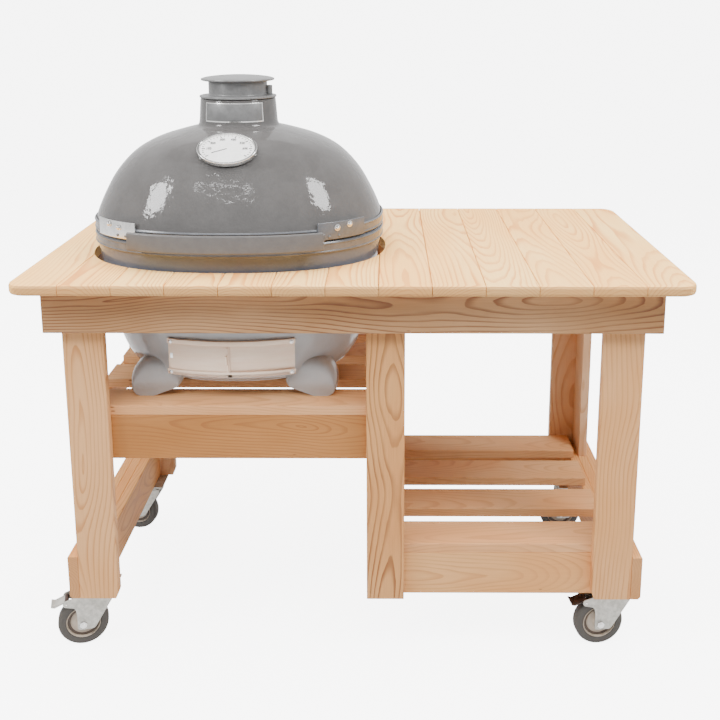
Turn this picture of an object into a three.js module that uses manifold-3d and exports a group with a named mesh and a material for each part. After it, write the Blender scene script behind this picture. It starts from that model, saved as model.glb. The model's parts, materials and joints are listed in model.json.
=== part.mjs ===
// A kamado grill table: a board-topped softwood table on four swivel casters, with an oval cut-out
// that an oval ceramic grill hangs down through to its own shelf, and a low slatted shelf beside it.
// Millimetres, +Z up, +Y to the back. The origin is on the floor under the middle of the top.
import * as THREE from "three";
import { mergeVertices } from "three/addons/utils/BufferGeometryUtils.js";
import Module from "manifold-3d";

const wasm = await Module();
wasm.setup();

// Table top: boards side by side from left to right, each running front to back.
const LEFT_MARGIN = 105; // from the top's left end to the cut-out
const RIGHT_SPAN = 705; // from the cut-out to the right end: the working surface
const FRONT_MARGIN = 106;
const BACK_MARGIN = 206;
const TOP_THICKNESS = 26;
const TOP_CORNER_RADIUS = 42;
const TOP_EDGE_ROUND = 7;
const BOARD_COUNT = 13;
const SEAM_GAP = 1.4;
const SEAM_CHAMFER = 1.6;

// Frame.
const STOCK = 25; // thickness of the frame boards
const EASE = 1.6; // chamfer on the long edges of every board
const LEG_LENGTH = 807;
const LEG_WIDTH = 97;
const LEG_CLIP_WIDTH = 7; // clipped off the inner corner at the leg's foot
const LEG_CLIP_HEIGHT = 18;
const RAIL_CLIP = 6; // clipped off the lower outer edge of a side rail
const POST_WIDTH = 92;
const POST_OFFSET = 0.5; // middle of the centre post, right of the cut-out's right end
const RAIL_HEIGHT = 113;
const APRON_HEIGHT = 106;
const APRON_REVEAL = 10; // how far the front apron runs past the side apron's face
const OVERHANG = 60; // top past the front apron, at the front and at both ends
const BACK_OVERHANG = 90;
const BEARER_THICKNESS = 20;
const BEARER_WIDTH = 40;
const BEARER_SETBACK = 17; // behind the cut-out's back edge

// Shelves.
const SLAT_WIDTH = 110;
const SLAT_THICKNESS = 24;
const SLAT_COUNT = 4;
const GRILL_SLAT_INSET = 10; // from the leg to the slat's left end
const LOW_SLAT_LAP = 8; // how far a low slat lies on the side rail's inner board
const CLEAT_HEIGHT = 60;
const BEAM_PAST_POST = 10; // the beam stops this far inside the post's right edge

// Casters.
const CASTER_HEIGHT = 157;
const CASTER_INSET = 65; // swivel axis behind the frame's face
const CASTER_TRAIL = 40;
const CASTER_YAW_DEGREES = { front_left: 16, front_right: 7, back_left: -9, back_right: 5 };
const WHEEL_RADIUS = 62.5;
const TREAD_HALF_WIDTH = 16;
const HUB_HALF_WIDTH = 19;
const TYRE_INNER_RADIUS = 43;
const RIM_RADIUS = 36;
const HUB_RADIUS = 16;
const RIM_RECESS = 8;
const TYRE_SHOULDER = 7;
const WHEEL_SEGMENTS = 28;
const PLATE_LENGTH = 100;
const PLATE_WIDTH = 86;
const PLATE_THICKNESS = 4;
const RACE_RADIUS = 27;
const RACE_HEIGHT = 7;
const CAP_RADIUS = 36;
const CAP_HEIGHT = 5;
const CROWN_HEIGHT = 5;
const FORK_THICKNESS = 3;
const FORK_CLEARANCE = 1;
const FORK_TAIL = 14; // fork plate past the axle, away from the swivel
const FORK_TOE = 27; // fork plate past the axle, towards the swivel
const FORK_FRONT = 38; // fork plate in front of the swivel axis
const FORK_DROP = 16; // fork plate below the axle
const FORK_SHOULDER = 12; // height of the fork plate's straight shoulder
const FORK_CORNER = 8;
const AXLE_RADIUS = 5;
const NUT_RADIUS = 10;
const NUT_HEIGHT = 6;
const BOLT_RADIUS = 6;
const BOLT_HEAD = 4;
const BOLT_INSET = 13;
const RUNNING_GAP = 0.3;

// Brake pedal of a front caster.
const PEDAL_PIVOT_OUT = 38; // beyond the axle
const PEDAL_PIVOT_UP = 61.5; // above the axle
const PEDAL_LENGTH = 38;
const PEDAL_STROKE_DEGREES = 12;
const PEDAL_DROP = 12;
const PEDAL_THICKNESS = 3;
const PEDAL_HALF_WIDTH = 18;
const PEDAL_BARREL_RADIUS = 6;
const PEDAL_PIN_RADIUS = 2.6;
const PEDAL_LIP = 9;
const SHOE_REACH = 8.8;
const SHOE_HALF_WIDTH = 2;
const EAR_RADIUS = 9;

// Grill. Radii are half-widths along X; the half-depth follows from depthShare.
const GRILL_HALF_WIDTH = 364;
const GRILL_HALF_DEPTH = 279.5;
const OVAL_POWER = 2.3; // a little squarer than an ellipse
const ROUND_TO_RADIUS = 100; // smaller rings are true circles
const OVAL_FROM_RADIUS = 330; // larger rings are full ovals
const GRILL_SEGMENTS = 36;
const HOLE_SEGMENTS = 60;
const HOLE_SIDE_GAP = 11; // round the grill's widest ring, left and right
const HOLE_END_GAP = 4.5; // and front and back

const BOWL_HEIGHT = 396;
const BOWL_PROUD = 64; // bowl's rim above the table top
const BOWL_WALL = 28;
const BOWL_FLOOR = 36;
// Bowl outside: shares of the grill's half-width and of the bowl's height above the shelf.
const BOWL_OUTLINE_SHARES = [
  [0.648, 0.081], [0.72, 0.101], [0.786, 0.152], [0.849, 0.253], [0.901, 0.409], [0.948, 0.611],
  [0.978, 0.813], [0.995, 0.924], [1, 1],
];
const LEDGE_DEPTH = 21; // cooking grate's seat below the seam
const LEDGE_WIDTH = 12;
const RIM_WALL = 27;
const SEAT_GAP = 1; // gasket gap on each side of the seam

const DOME_HEIGHT = 252;
const LID_WALL = 24;
// Lid outside: shares of the grill's half-width and of the dome's height.
const LID_OUTLINE_SHARES = [
  [1, 0], [1, 0.095], [0.985, 0.165], [0.955, 0.27], [0.912, 0.395], [0.858, 0.53], [0.786, 0.66],
  [0.707, 0.765], [0.62, 0.842], [0.525, 0.9], [0.415, 0.948], [0.325, 0.982], [0.275, 1],
];
const NECK_RADIUS = 98;
const NECK_TAPER = 3;
const NECK_FLARE = 7; // height of the curve from the dome into the neck
const NECK_HEIGHT = 69;
const FLUE_RADIUS = 82;

const BAND_THICKNESS = 3;
const BAND_HEIGHT = 27;
const BAND_FROM_SEAM = 3;
const HANDLE_STANDOFF = 26; // handle bar in front of the lid's band
const HANDLE_THICKNESS = 11;
const HANDLE_HEIGHT = 44;
const HANDLE_DROP = 18; // below the band's lower edge
const HANDLE_HALF_WIDTH = 228;
const BRACKET_WIDTH = 30;
const BRACKET_HEIGHT = 20;
const HINGE_HALF_WIDTH = 62;
const HINGE_EAR_WIDTH = 14;
const HINGE_PIN_RADIUS = 5;
const HINGE_BARREL_RADIUS = 11;
const HINGE_OFFSET = 34; // pin behind the band
const HINGE_LINK_HEIGHT = 16;

const VENT_RADIUS = 74;
const VENT_WALL = 9;
const VENT_HEIGHT = 41;
const VENT_FLANGE_LAP = 2; // flange past the top of the neck
const VENT_FLANGE_HEIGHT = 5;
const VENT_LUG_RADIUS = 9;
const VENT_LUG_HEIGHT = 30;
const CAP_LID_RADIUS = 93;
const CAP_LID_RISE = 15;
// Cap outside: shares of its radius and of its rise.
const CAP_OUTLINE_SHARES = [[1, 0], [1, 0.27], [0.9, 0.55], [0.5, 0.9], [0, 1]];
const CAP_PIN_RADIUS = 3;
const CAP_PIN_HEIGHT = 6;
const FIT_GAP = 0.4;

const DIAL_HALF_WIDTH = 72;
const DIAL_SHARE = 0.66;
const DIAL_THICKNESS = 9;
const DIAL_BEZEL = 5;
const DIAL_RECESS = 2;
const DIAL_OUTLINE_INDEX = 8; // the point of the lid's outline that the dial stands on
const STEM_RADIUS = 5;
const STEM_LENGTH = 60;

// Draft door, curved about an upright line in front of the bowl's middle.
const DRAFT_RADIUS = 437;
const DRAFT_PROUD = 1; // seat in front of the bowl at the frame's top
const DRAFT_PAD_DEPTH = 60;
const DRAFT_HALF_DEGREES = 20.5;
const DRAFT_SILL = 64; // frame's lower edge above the shelf
const DRAFT_HEIGHT = 90;
const DRAFT_PLATE = 3.5;
const DRAFT_DOOR_PLATE = 3;
const DRAFT_RAIL_HEIGHT = 8;
const DRAFT_LIP_HEIGHT = 13;
const DRAFT_LIP = 2.4;
const DRAFT_OPENING_MARGIN = 16;
const DRAFT_DOOR_MARGIN = 9;
const DRAFT_TAB_HEIGHT = 24;
const DRAFT_TAB_REACH = 12;
const DRAFT_PAD_MARGIN = 4;
const DRAFT_SEAT_DEGREES = 0.1; // play at each end of the frame's seat
const DRAFT_POST_DEGREES = 2.5; // frame left of the opening
const DRAFT_MULLION_DEGREES = 1.5; // frame right of the opening
const DRAFT_TAB_DEGREES = 0.5;

// Feet under the bowl, one at each quarter.
const FOOT_OUTER_X = 258; // from the grill's middle to the foot's outer side
const FOOT_SOLE_WIDTH = 58;
const FOOT_WIDTH = 132;
const FOOT_TOE_RISE = 34;
const FOOT_HEIGHT = 86;
const FOOT_SETBACK = 34; // behind the middle of the draft frame's seat
const FOOT_DEPTH = 95;

const GRATE_PLAY = 4;
const GRATE_THICKNESS = 7;
const GRATE_BAR = 9;
const GRATE_SLOT = 26;
const GRATE_RING = 22;

const OVERRUN = 5; // how far a cutter passes the face that it cuts
const WELD = 0.2; // overlap of pieces that are joined into one
const MERGE_WITHIN = 0.0001; // corners this close are one corner

// Places that several pieces share.
const TOP_Z = CASTER_HEIGHT + LEG_LENGTH + TOP_THICKNESS;
const UNDER_TOP_Z = TOP_Z - TOP_THICKNESS;
const HOLE_HALF_WIDTH = GRILL_HALF_WIDTH + HOLE_SIDE_GAP;
const HOLE_HALF_DEPTH = GRILL_HALF_DEPTH + HOLE_END_GAP;
const TOP_WIDTH = LEFT_MARGIN + 2 * HOLE_HALF_WIDTH + RIGHT_SPAN;
const TOP_DEPTH = FRONT_MARGIN + 2 * HOLE_HALF_DEPTH + BACK_MARGIN;
const GRILL_CENTRE_X = -TOP_WIDTH / 2 + LEFT_MARGIN + HOLE_HALF_WIDTH;
const GRILL_CENTRE_Y = -TOP_DEPTH / 2 + FRONT_MARGIN + HOLE_HALF_DEPTH;
const GRILL_SHELF_Z = TOP_Z + BOWL_PROUD - BOWL_HEIGHT; // top of the slats that carry the grill
const POST_CENTRE_X = GRILL_CENTRE_X + HOLE_HALF_WIDTH + POST_OFFSET;
const FRONT_FACE_Y = -TOP_DEPTH / 2 + OVERHANG + STOCK; // front of the front legs
const BACK_FACE_Y = TOP_DEPTH / 2 - BACK_OVERHANG - STOCK; // back of the back legs
const INNER_FRONT_Y = FRONT_FACE_Y + STOCK;
const INNER_BACK_Y = BACK_FACE_Y - STOCK;
const APRON_END_X = TOP_WIDTH / 2 - OVERHANG;
const SIDE_FACE_X = APRON_END_X - APRON_REVEAL; // outer face of the side aprons and side rails
const LEG_OUTER_X = SIDE_FACE_X - STOCK;
const LEG_INNER_X = LEG_OUTER_X - STOCK;
const SIDE_RAIL_INNER_X = LEG_INNER_X - STOCK;
const POST_LEFT_X = POST_CENTRE_X - POST_WIDTH / 2;
const POST_RIGHT_X = POST_CENTRE_X + POST_WIDTH / 2;
const BOARD_PITCH = TOP_WIDTH / BOARD_COUNT;
const LOW_RAIL_TOP_Z = CASTER_HEIGHT + RAIL_HEIGHT;
const GRILL_BEAM_TOP_Z = GRILL_SHELF_Z - SLAT_THICKNESS;
const SLAT_PITCH = (INNER_BACK_Y - INNER_FRONT_Y - SLAT_WIDTH) / (SLAT_COUNT - 1);

const OVAL_SHARE = GRILL_HALF_DEPTH / GRILL_HALF_WIDTH; // depth over width of the big ovals
const SEAM_Z = GRILL_SHELF_Z + BOWL_HEIGHT + SEAT_GAP; // where the lid meets the bowl
const LEDGE_Z = SEAM_Z - LEDGE_DEPTH;
const RIM_BORE_RADIUS = GRILL_HALF_WIDTH - RIM_WALL;
const LEDGE_RADIUS = RIM_BORE_RADIUS - LEDGE_WIDTH;
const DRAFT_Z = GRILL_SHELF_Z + DRAFT_SILL;

const cypress = new THREE.MeshStandardMaterial({ color: 0xdcb48c, roughness: 0.6, metalness: 0 });
const glaze = new THREE.MeshStandardMaterial({ color: 0x8b8a8a, roughness: 0.12, metalness: 0 });
const steel = new THREE.MeshStandardMaterial({ color: 0xc9c8c4, roughness: 0.35, metalness: 1 });
const bandPaint = new THREE.MeshStandardMaterial({ color: 0x858585, roughness: 0.3, metalness: 0.4 });
const castIron = new THREE.MeshStandardMaterial({ color: 0x7b7c7d, roughness: 0.5, metalness: 0.3 });
const tyreRubber = new THREE.MeshStandardMaterial({ color: 0x6b6a6a, roughness: 0.7, metalness: 0 });
const dialFace = new THREE.MeshStandardMaterial({ color: 0xe4e2e0, roughness: 0.25, metalness: 0.2 });

// Geometry helpers.

// Merges the shared corners of a closed geometry, drops slivers with two corners alike and turns it
// so that its faces point out. Any drawing attributes are left behind.
function closed(source) {
  const plain = new THREE.BufferGeometry().setAttribute("position", source.getAttribute("position"));
  if (source.index) plain.setIndex(source.index);
  const merged = mergeVertices(plain, MERGE_WITHIN);
  const p = merged.getAttribute("position");
  const corners = [];
  let volume = 0;
  const a = new THREE.Vector3();
  const b = new THREE.Vector3();
  const c = new THREE.Vector3();
  for (let i = 0; i < merged.index.count; i += 3) {
    const [u, v, w] = [merged.index.getX(i), merged.index.getX(i + 1), merged.index.getX(i + 2)];
    if (u === v || v === w || w === u) continue;
    corners.push(u, v, w);
    a.fromBufferAttribute(p, u);
    b.fromBufferAttribute(p, v);
    c.fromBufferAttribute(p, w);
    volume += a.dot(b.cross(c));
  }
  if (volume < 0) corners.reverse();
  return new THREE.BufferGeometry().setAttribute("position", p).setIndex(corners);
}

// A geometry as a manifold solid, for a join or a cut.
function solid(geometry) {
  const g = closed(geometry);
  return new wasm.Manifold(
    new wasm.Mesh({
      numProp: 3,
      vertProperties: Float32Array.from(g.getAttribute("position").array),
      triVerts: Uint32Array.from(g.index.array),
    }),
  );
}

// A manifold solid back as a geometry.
function geometryOf(body) {
  const mesh = body.getMesh();
  const step = mesh.numProp;
  const places = new Float32Array(mesh.numVert * 3);
  for (let i = 0; i < mesh.numVert; i++) {
    places.set(mesh.vertProperties.subarray(i * step, i * step + 3), i * 3);
  }
  return new THREE.BufferGeometry()
    .setAttribute("position", new THREE.BufferAttribute(places, 3))
    .setIndex([...mesh.triVerts]);
}

function join(...geometries) {
  return geometryOf(geometries.map(solid).reduce((all, next) => all.add(next)));
}

function cut(geometry, ...tools) {
  return geometryOf(tools.map(solid).reduce((left, tool) => left.subtract(tool), solid(geometry)));
}

function overlapOf(geometry, other) {
  return geometryOf(solid(geometry).intersect(solid(other)));
}

function box([x0, x1], [y0, y1], [z0, z1]) {
  const g = new THREE.BoxGeometry(x1 - x0, y1 - y0, z1 - z0);
  return g.translate((x0 + x1) / 2, (y0 + y1) / 2, (z0 + z1) / 2);
}

// A rectangle with its corners cut off at 45 degrees.
function easedShape([u0, u1], [v0, v1], ease) {
  const shape = new THREE.Shape();
  shape.moveTo(u0 + ease, v0);
  shape.lineTo(u1 - ease, v0);
  shape.lineTo(u1, v0 + ease);
  shape.lineTo(u1, v1 - ease);
  shape.lineTo(u1 - ease, v1);
  shape.lineTo(u0 + ease, v1);
  shape.lineTo(u0, v1 - ease);
  shape.lineTo(u0, v0 + ease);
  shape.closePath();
  return shape;
}

// Extrudes a shape drawn in X and Y upwards between two heights.
function upright(shape, [z0, z1], curveSegments = 6) {
  const g = new THREE.ExtrudeGeometry(shape, { depth: z1 - z0, bevelEnabled: false, curveSegments });
  return g.translate(0, 0, z0);
}

// Extrudes a shape drawn in X and Z from one Y to another.
function crosswise(shape, [y0, y1], curveSegments = 6) {
  const g = new THREE.ExtrudeGeometry(shape, { depth: y1 - y0, bevelEnabled: false, curveSegments });
  return g.rotateX(Math.PI / 2).translate(0, y1, 0);
}

// Extrudes a shape drawn in Y and Z from one X to another.
function lengthwise(shape, [x0, x1]) {
  const g = new THREE.ExtrudeGeometry(shape, { depth: x1 - x0, bevelEnabled: false });
  return g.rotateX(Math.PI / 2).rotateZ(Math.PI / 2).translate(x0, 0, 0);
}

// Frame boards with eased long edges, named for the way their grain runs.
const boardAlongX = (x, y, z) => lengthwise(easedShape(y, z, EASE), x);
const boardAlongY = (x, y, z) => crosswise(easedShape(x, z, EASE), y);
const boardUpright = (x, y, z) => upright(easedShape(x, y, EASE), z);

// Turns a profile of [radius, height] pairs about +Z.
function turned(profile, segments) {
  const points = profile.map(([r, z]) => new THREE.Vector2(r, z));
  return closed(new THREE.LatheGeometry(points, segments).rotateX(Math.PI / 2));
}

function cylinderAlongY(radius, [y0, y1], [x, z], segments = 16) {
  const g = new THREE.CylinderGeometry(radius, radius, y1 - y0, segments);
  return g.translate(x, (y0 + y1) / 2, z);
}

function cylinderAlongX(radius, [x0, x1], [y, z], segments = 16) {
  const g = new THREE.CylinderGeometry(radius, radius, x1 - x0, segments);
  return g.rotateZ(Math.PI / 2).translate((x0 + x1) / 2, y, z);
}

function cylinderUp(radius, [z0, z1], [x, y], segments = 16) {
  const g = new THREE.CylinderGeometry(radius, radius, z1 - z0, segments);
  return g.rotateX(Math.PI / 2).translate(x, y, (z0 + z1) / 2);
}

// How deep a ring is for its half-width: small rings are circles, large ones are ovals.
function depthShare(radius) {
  const t = THREE.MathUtils.smoothstep(radius, ROUND_TO_RADIUS, OVAL_FROM_RADIUS);
  return THREE.MathUtils.lerp(1, OVAL_SHARE, t);
}

function ovalPower(radius) {
  const t = THREE.MathUtils.smoothstep(radius, ROUND_TO_RADIUS, OVAL_FROM_RADIUS);
  return THREE.MathUtils.lerp(2, OVAL_POWER, t);
}

// A point of an oval: signed powers of the cosine and sine, which make the sides fuller.
function ovalPoint(halfWidth, halfDepth, power, angle) {
  const c = Math.cos(angle);
  const s = Math.sin(angle);
  const k = 2 / power;
  return [halfWidth * Math.sign(c) * Math.abs(c) ** k, halfDepth * Math.sign(s) * Math.abs(s) ** k];
}

// Turns a profile about +Z, then presses each ring into the grill's oval and moves it to the hole.
function ovalTurned(profile, segments = GRILL_SEGMENTS) {
  const g = turned(profile, segments);
  const p = g.getAttribute("position");
  for (let i = 0; i < p.count; i++) {
    const r = Math.hypot(p.getX(i), p.getY(i));
    const angle = Math.atan2(p.getY(i), p.getX(i));
    const [x, y] = ovalPoint(r, r * depthShare(r), ovalPower(r), angle);
    p.setXY(i, GRILL_CENTRE_X + x, GRILL_CENTRE_Y + y);
  }
  return g;
}

// A curved plate between two radii of the draft door's arc.
function draftPlate([r0, r1], [from, to], z) {
  const a0 = THREE.MathUtils.degToRad(from - 90);
  const a1 = THREE.MathUtils.degToRad(to - 90);
  const shape = new THREE.Shape();
  shape.absarc(0, 0, r1, a0, a1, false);
  shape.absarc(0, 0, r0, a1, a0, true);
  shape.closePath();
  return upright(shape, z, 7).translate(GRILL_CENTRE_X, draftCentreY, 0);
}

const table = new THREE.Group();
function place(name, geometry, material, parent = table) {
  const mesh = new THREE.Mesh(closed(geometry), material);
  mesh.name = name;
  parent.add(mesh);
  return mesh;
}

// Table top.

// The whole slab with its rounded corners and rounded-over edge, before it is cut into boards.
function topSlab() {
  const halfWidth = TOP_WIDTH / 2 - TOP_EDGE_ROUND;
  const halfDepth = TOP_DEPTH / 2 - TOP_EDGE_ROUND;
  const r = TOP_CORNER_RADIUS - TOP_EDGE_ROUND;
  const shape = new THREE.Shape();
  shape.absarc(halfWidth - r, halfDepth - r, r, 0, Math.PI / 2);
  shape.absarc(-halfWidth + r, halfDepth - r, r, Math.PI / 2, Math.PI);
  shape.absarc(-halfWidth + r, -halfDepth + r, r, Math.PI, (3 * Math.PI) / 2);
  shape.absarc(halfWidth - r, -halfDepth + r, r, (3 * Math.PI) / 2, 2 * Math.PI);
  shape.closePath();
  const g = new THREE.ExtrudeGeometry(shape, {
    depth: TOP_THICKNESS - 2 * TOP_EDGE_ROUND,
    bevelThickness: TOP_EDGE_ROUND,
    bevelSize: TOP_EDGE_ROUND,
    bevelSegments: 2,
    curveSegments: 5,
  });
  return g.translate(0, 0, UNDER_TOP_Z + TOP_EDGE_ROUND);
}

// The oval that the grill hangs through.
function holeCutter() {
  const shape = new THREE.Shape();
  for (let i = 0; i < HOLE_SEGMENTS; i++) {
    const angle = (2 * Math.PI * i) / HOLE_SEGMENTS;
    const [x, y] = ovalPoint(HOLE_HALF_WIDTH, HOLE_HALF_DEPTH, OVAL_POWER, angle);
    if (i === 0) shape.moveTo(GRILL_CENTRE_X + x, GRILL_CENTRE_Y + y);
    else shape.lineTo(GRILL_CENTRE_X + x, GRILL_CENTRE_Y + y);
  }
  shape.closePath();
  return upright(shape, [UNDER_TOP_Z - OVERRUN, TOP_Z + OVERRUN]);
}

// A seam between two boards: a thin gap right through, with a small V along the top.
function seamCutter(index) {
  const x = -TOP_WIDTH / 2 + index * BOARD_PITCH;
  const half = SEAM_GAP / 2;
  const shape = new THREE.Shape();
  shape.moveTo(x - half, UNDER_TOP_Z - OVERRUN);
  shape.lineTo(x + half, UNDER_TOP_Z - OVERRUN);
  shape.lineTo(x + half, TOP_Z - SEAM_CHAMFER);
  shape.lineTo(x + half + SEAM_CHAMFER, TOP_Z);
  shape.lineTo(x + half + SEAM_CHAMFER, TOP_Z + OVERRUN);
  shape.lineTo(x - half - SEAM_CHAMFER, TOP_Z + OVERRUN);
  shape.lineTo(x - half - SEAM_CHAMFER, TOP_Z);
  shape.lineTo(x - half, TOP_Z - SEAM_CHAMFER);
  shape.closePath();
  return crosswise(shape, [-TOP_DEPTH / 2 - OVERRUN, TOP_DEPTH / 2 + OVERRUN]);
}

// The boards that the cut-out parts in two, counted from the left.
const firstParted = Math.ceil(LEFT_MARGIN / BOARD_PITCH);
const firstWhole = Math.floor((TOP_WIDTH - RIGHT_SPAN) / BOARD_PITCH);
const boardLeftX = (index) => -TOP_WIDTH / 2 + index * BOARD_PITCH;

function addTop() {
  let slab = cut(topSlab(), holeCutter());
  for (let i = 1; i < BOARD_COUNT; i++) slab = cut(slab, seamCutter(i));
  const deep = [UNDER_TOP_Z - OVERRUN, TOP_Z + OVERRUN];
  const wholeDepth = [-TOP_DEPTH / 2 - OVERRUN, TOP_DEPTH / 2 + OVERRUN];
  for (let i = 0; i < BOARD_COUNT; i++) {
    if (i >= firstParted && i < firstWhole) continue;
    const strip = box([boardLeftX(i), boardLeftX(i + 1)], wholeDepth, deep);
    place("top_board_" + String(i + 1).padStart(2, "0"), overlapOf(slab, strip), cypress);
  }
  const across = [boardLeftX(firstParted), boardLeftX(firstWhole)];
  const bearerZ = [UNDER_TOP_Z - BEARER_THICKNESS, UNDER_TOP_Z + WELD];
  const frontBearer = box(
    [-LEG_OUTER_X + LEG_WIDTH, POST_LEFT_X],
    [FRONT_FACE_Y, FRONT_FACE_Y + BEARER_THICKNESS],
    bearerZ,
  );
  const backBearerY = GRILL_CENTRE_Y + HOLE_HALF_DEPTH + BEARER_SETBACK;
  const backBearer = box(
    [across[0] + BEARER_SETBACK, across[1] - BEARER_SETBACK],
    [backBearerY, backBearerY + BEARER_WIDTH],
    bearerZ,
  );
  const front = overlapOf(slab, box(across, [-TOP_DEPTH / 2 - OVERRUN, GRILL_CENTRE_Y], deep));
  const back = overlapOf(slab, box(across, [GRILL_CENTRE_Y, TOP_DEPTH / 2 + OVERRUN], deep));
  place("top_front_section", join(front, frontBearer), cypress);
  place("top_back_section", join(back, backBearer), cypress);
}

// Frame.

// A corner leg: a wide board facing front or back, and a second one on its edge behind it.
function addLeg(name, side, depthSign) {
  const face = depthSign < 0 ? FRONT_FACE_Y : BACK_FACE_Y;
  const inward = -depthSign;
  const z = [CASTER_HEIGHT, UNDER_TOP_Z];
  const order = (a, b) => [Math.min(a, b), Math.max(a, b)];
  const faceBoard = boardUpright(
    order(side * LEG_OUTER_X, side * (LEG_OUTER_X - LEG_WIDTH)),
    order(face, face + inward * STOCK),
    z,
  );
  const sideBoard = boardUpright(
    order(side * LEG_OUTER_X, side * LEG_INNER_X),
    order(face + inward * (STOCK - WELD), face + inward * (STOCK + LEG_WIDTH)),
    z,
  );
  const clip = new THREE.Shape();
  const innerX = side * (LEG_OUTER_X - LEG_WIDTH);
  clip.moveTo(innerX - side * OVERRUN, CASTER_HEIGHT - OVERRUN);
  clip.lineTo(innerX + side * LEG_CLIP_WIDTH, CASTER_HEIGHT - OVERRUN);
  clip.lineTo(innerX + side * LEG_CLIP_WIDTH, CASTER_HEIGHT);
  clip.lineTo(innerX, CASTER_HEIGHT + LEG_CLIP_HEIGHT);
  clip.lineTo(innerX - side * OVERRUN, CASTER_HEIGHT + LEG_CLIP_HEIGHT);
  clip.closePath();
  const through = order(face - inward * OVERRUN, face + inward * (STOCK + OVERRUN));
  place(name, cut(join(faceBoard, sideBoard), crosswise(clip, through)), cypress);
}

// A side rail: three boards face to face. The middle one fits between the leg's side boards.
function addSideRail(name, side) {
  const z = [CASTER_HEIGHT, LOW_RAIL_TOP_Z];
  const order = (a, b) => [Math.min(a, b), Math.max(a, b)];
  const outer = boardAlongY(
    order(side * SIDE_FACE_X, side * LEG_OUTER_X),
    [FRONT_FACE_Y, BACK_FACE_Y],
    z,
  );
  const middle = boardAlongY(
    order(side * (LEG_OUTER_X + WELD), side * (LEG_INNER_X - WELD)),
    [INNER_FRONT_Y + LEG_WIDTH, INNER_BACK_Y - LEG_WIDTH],
    z,
  );
  const inner = boardAlongY(
    order(side * LEG_INNER_X, side * SIDE_RAIL_INNER_X),
    [INNER_FRONT_Y, INNER_BACK_Y],
    z,
  );
  const lower = new THREE.Shape();
  lower.moveTo(side * (SIDE_FACE_X + OVERRUN), z[0] - OVERRUN);
  lower.lineTo(side * (SIDE_FACE_X - RAIL_CLIP), z[0] - OVERRUN);
  lower.lineTo(side * (SIDE_FACE_X - RAIL_CLIP), z[0]);
  lower.lineTo(side * SIDE_FACE_X, z[0] + RAIL_CLIP);
  lower.lineTo(side * (SIDE_FACE_X + OVERRUN), z[0] + RAIL_CLIP);
  lower.closePath();
  const wedge = crosswise(lower, [FRONT_FACE_Y - OVERRUN, BACK_FACE_Y + OVERRUN]);
  place(name, cut(join(outer, middle, inner), wedge), cypress);
}

function addFrame() {
  const apronZ = [UNDER_TOP_Z - APRON_HEIGHT, UNDER_TOP_Z];
  const endToEnd = [-APRON_END_X, APRON_END_X];
  place("front_apron", boardAlongX(endToEnd, [FRONT_FACE_Y - STOCK, FRONT_FACE_Y], apronZ), cypress);
  place("back_apron", boardAlongX(endToEnd, [BACK_FACE_Y, BACK_FACE_Y + STOCK], apronZ), cypress);
  const betweenAprons = [FRONT_FACE_Y, BACK_FACE_Y];
  place("left_apron", boardAlongY([-SIDE_FACE_X, -LEG_OUTER_X], betweenAprons, apronZ), cypress);
  place("right_apron", boardAlongY([LEG_OUTER_X, SIDE_FACE_X], betweenAprons, apronZ), cypress);
  addLeg("leg_front_left", -1, -1);
  addLeg("leg_front_right", 1, -1);
  addLeg("leg_back_left", -1, 1);
  addLeg("leg_back_right", 1, 1);
  const postX = [POST_LEFT_X, POST_RIGHT_X];
  const postZ = [CASTER_HEIGHT, UNDER_TOP_Z];
  place("centre_post_front", boardUpright(postX, [FRONT_FACE_Y, INNER_FRONT_Y], postZ), cypress);
  place("centre_post_back", boardUpright(postX, [INNER_BACK_Y, BACK_FACE_Y], postZ), cypress);
  addSideRail("side_rail_left", -1);
  addSideRail("side_rail_right", 1);
}

// Four slats from front to back, lying on the rails below them.
function addSlats(prefix, x, topZ) {
  for (let i = 0; i < SLAT_COUNT; i++) {
    const y = INNER_FRONT_Y + i * SLAT_PITCH;
    const slat = boardAlongX(x, [y, y + SLAT_WIDTH], [topZ - SLAT_THICKNESS, topZ]);
    place(prefix + "_slat_" + (i + 1), slat, cypress);
  }
}

function addShelves() {
  const frontY = [INNER_FRONT_Y, INNER_FRONT_Y + STOCK];
  const backY = [INNER_BACK_Y - STOCK, INNER_BACK_Y];
  const betweenY = [INNER_FRONT_Y + STOCK, INNER_BACK_Y - STOCK];
  const centreX = [POST_CENTRE_X - STOCK / 2, POST_CENTRE_X + STOCK / 2];

  const beamX = [-LEG_INNER_X, POST_RIGHT_X - BEAM_PAST_POST];
  const beamZ = [GRILL_BEAM_TOP_Z - RAIL_HEIGHT, GRILL_BEAM_TOP_Z];
  place("grill_shelf_front_beam", boardAlongX(beamX, frontY, beamZ), cypress);
  place("grill_shelf_back_beam", boardAlongX(beamX, backY, beamZ), cypress);
  const cleatX = [-LEG_INNER_X, -SIDE_RAIL_INNER_X];
  const cleatZ = [GRILL_BEAM_TOP_Z - CLEAT_HEIGHT, GRILL_BEAM_TOP_Z];
  place("grill_shelf_left_cleat", boardAlongY(cleatX, betweenY, cleatZ), cypress);
  place("grill_shelf_centre_rail", boardAlongY(centreX, betweenY, beamZ), cypress);
  addSlats("grill_shelf", [-LEG_INNER_X + GRILL_SLAT_INSET, centreX[1]], GRILL_SHELF_Z);

  const lowX = [POST_LEFT_X + BEAM_PAST_POST, SIDE_RAIL_INNER_X];
  const lowZ = [CASTER_HEIGHT, LOW_RAIL_TOP_Z];
  place("low_shelf_front_rail", boardAlongX(lowX, frontY, lowZ), cypress);
  place("low_shelf_back_rail", boardAlongX(lowX, backY, lowZ), cypress);
  place("low_shelf_centre_rail", boardAlongY(centreX, betweenY, lowZ), cypress);
  const slatX = [centreX[0], SIDE_RAIL_INNER_X + LOW_SLAT_LAP];
  addSlats("low_shelf", slatX, LOW_RAIL_TOP_Z + SLAT_THICKNESS);
}

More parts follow.
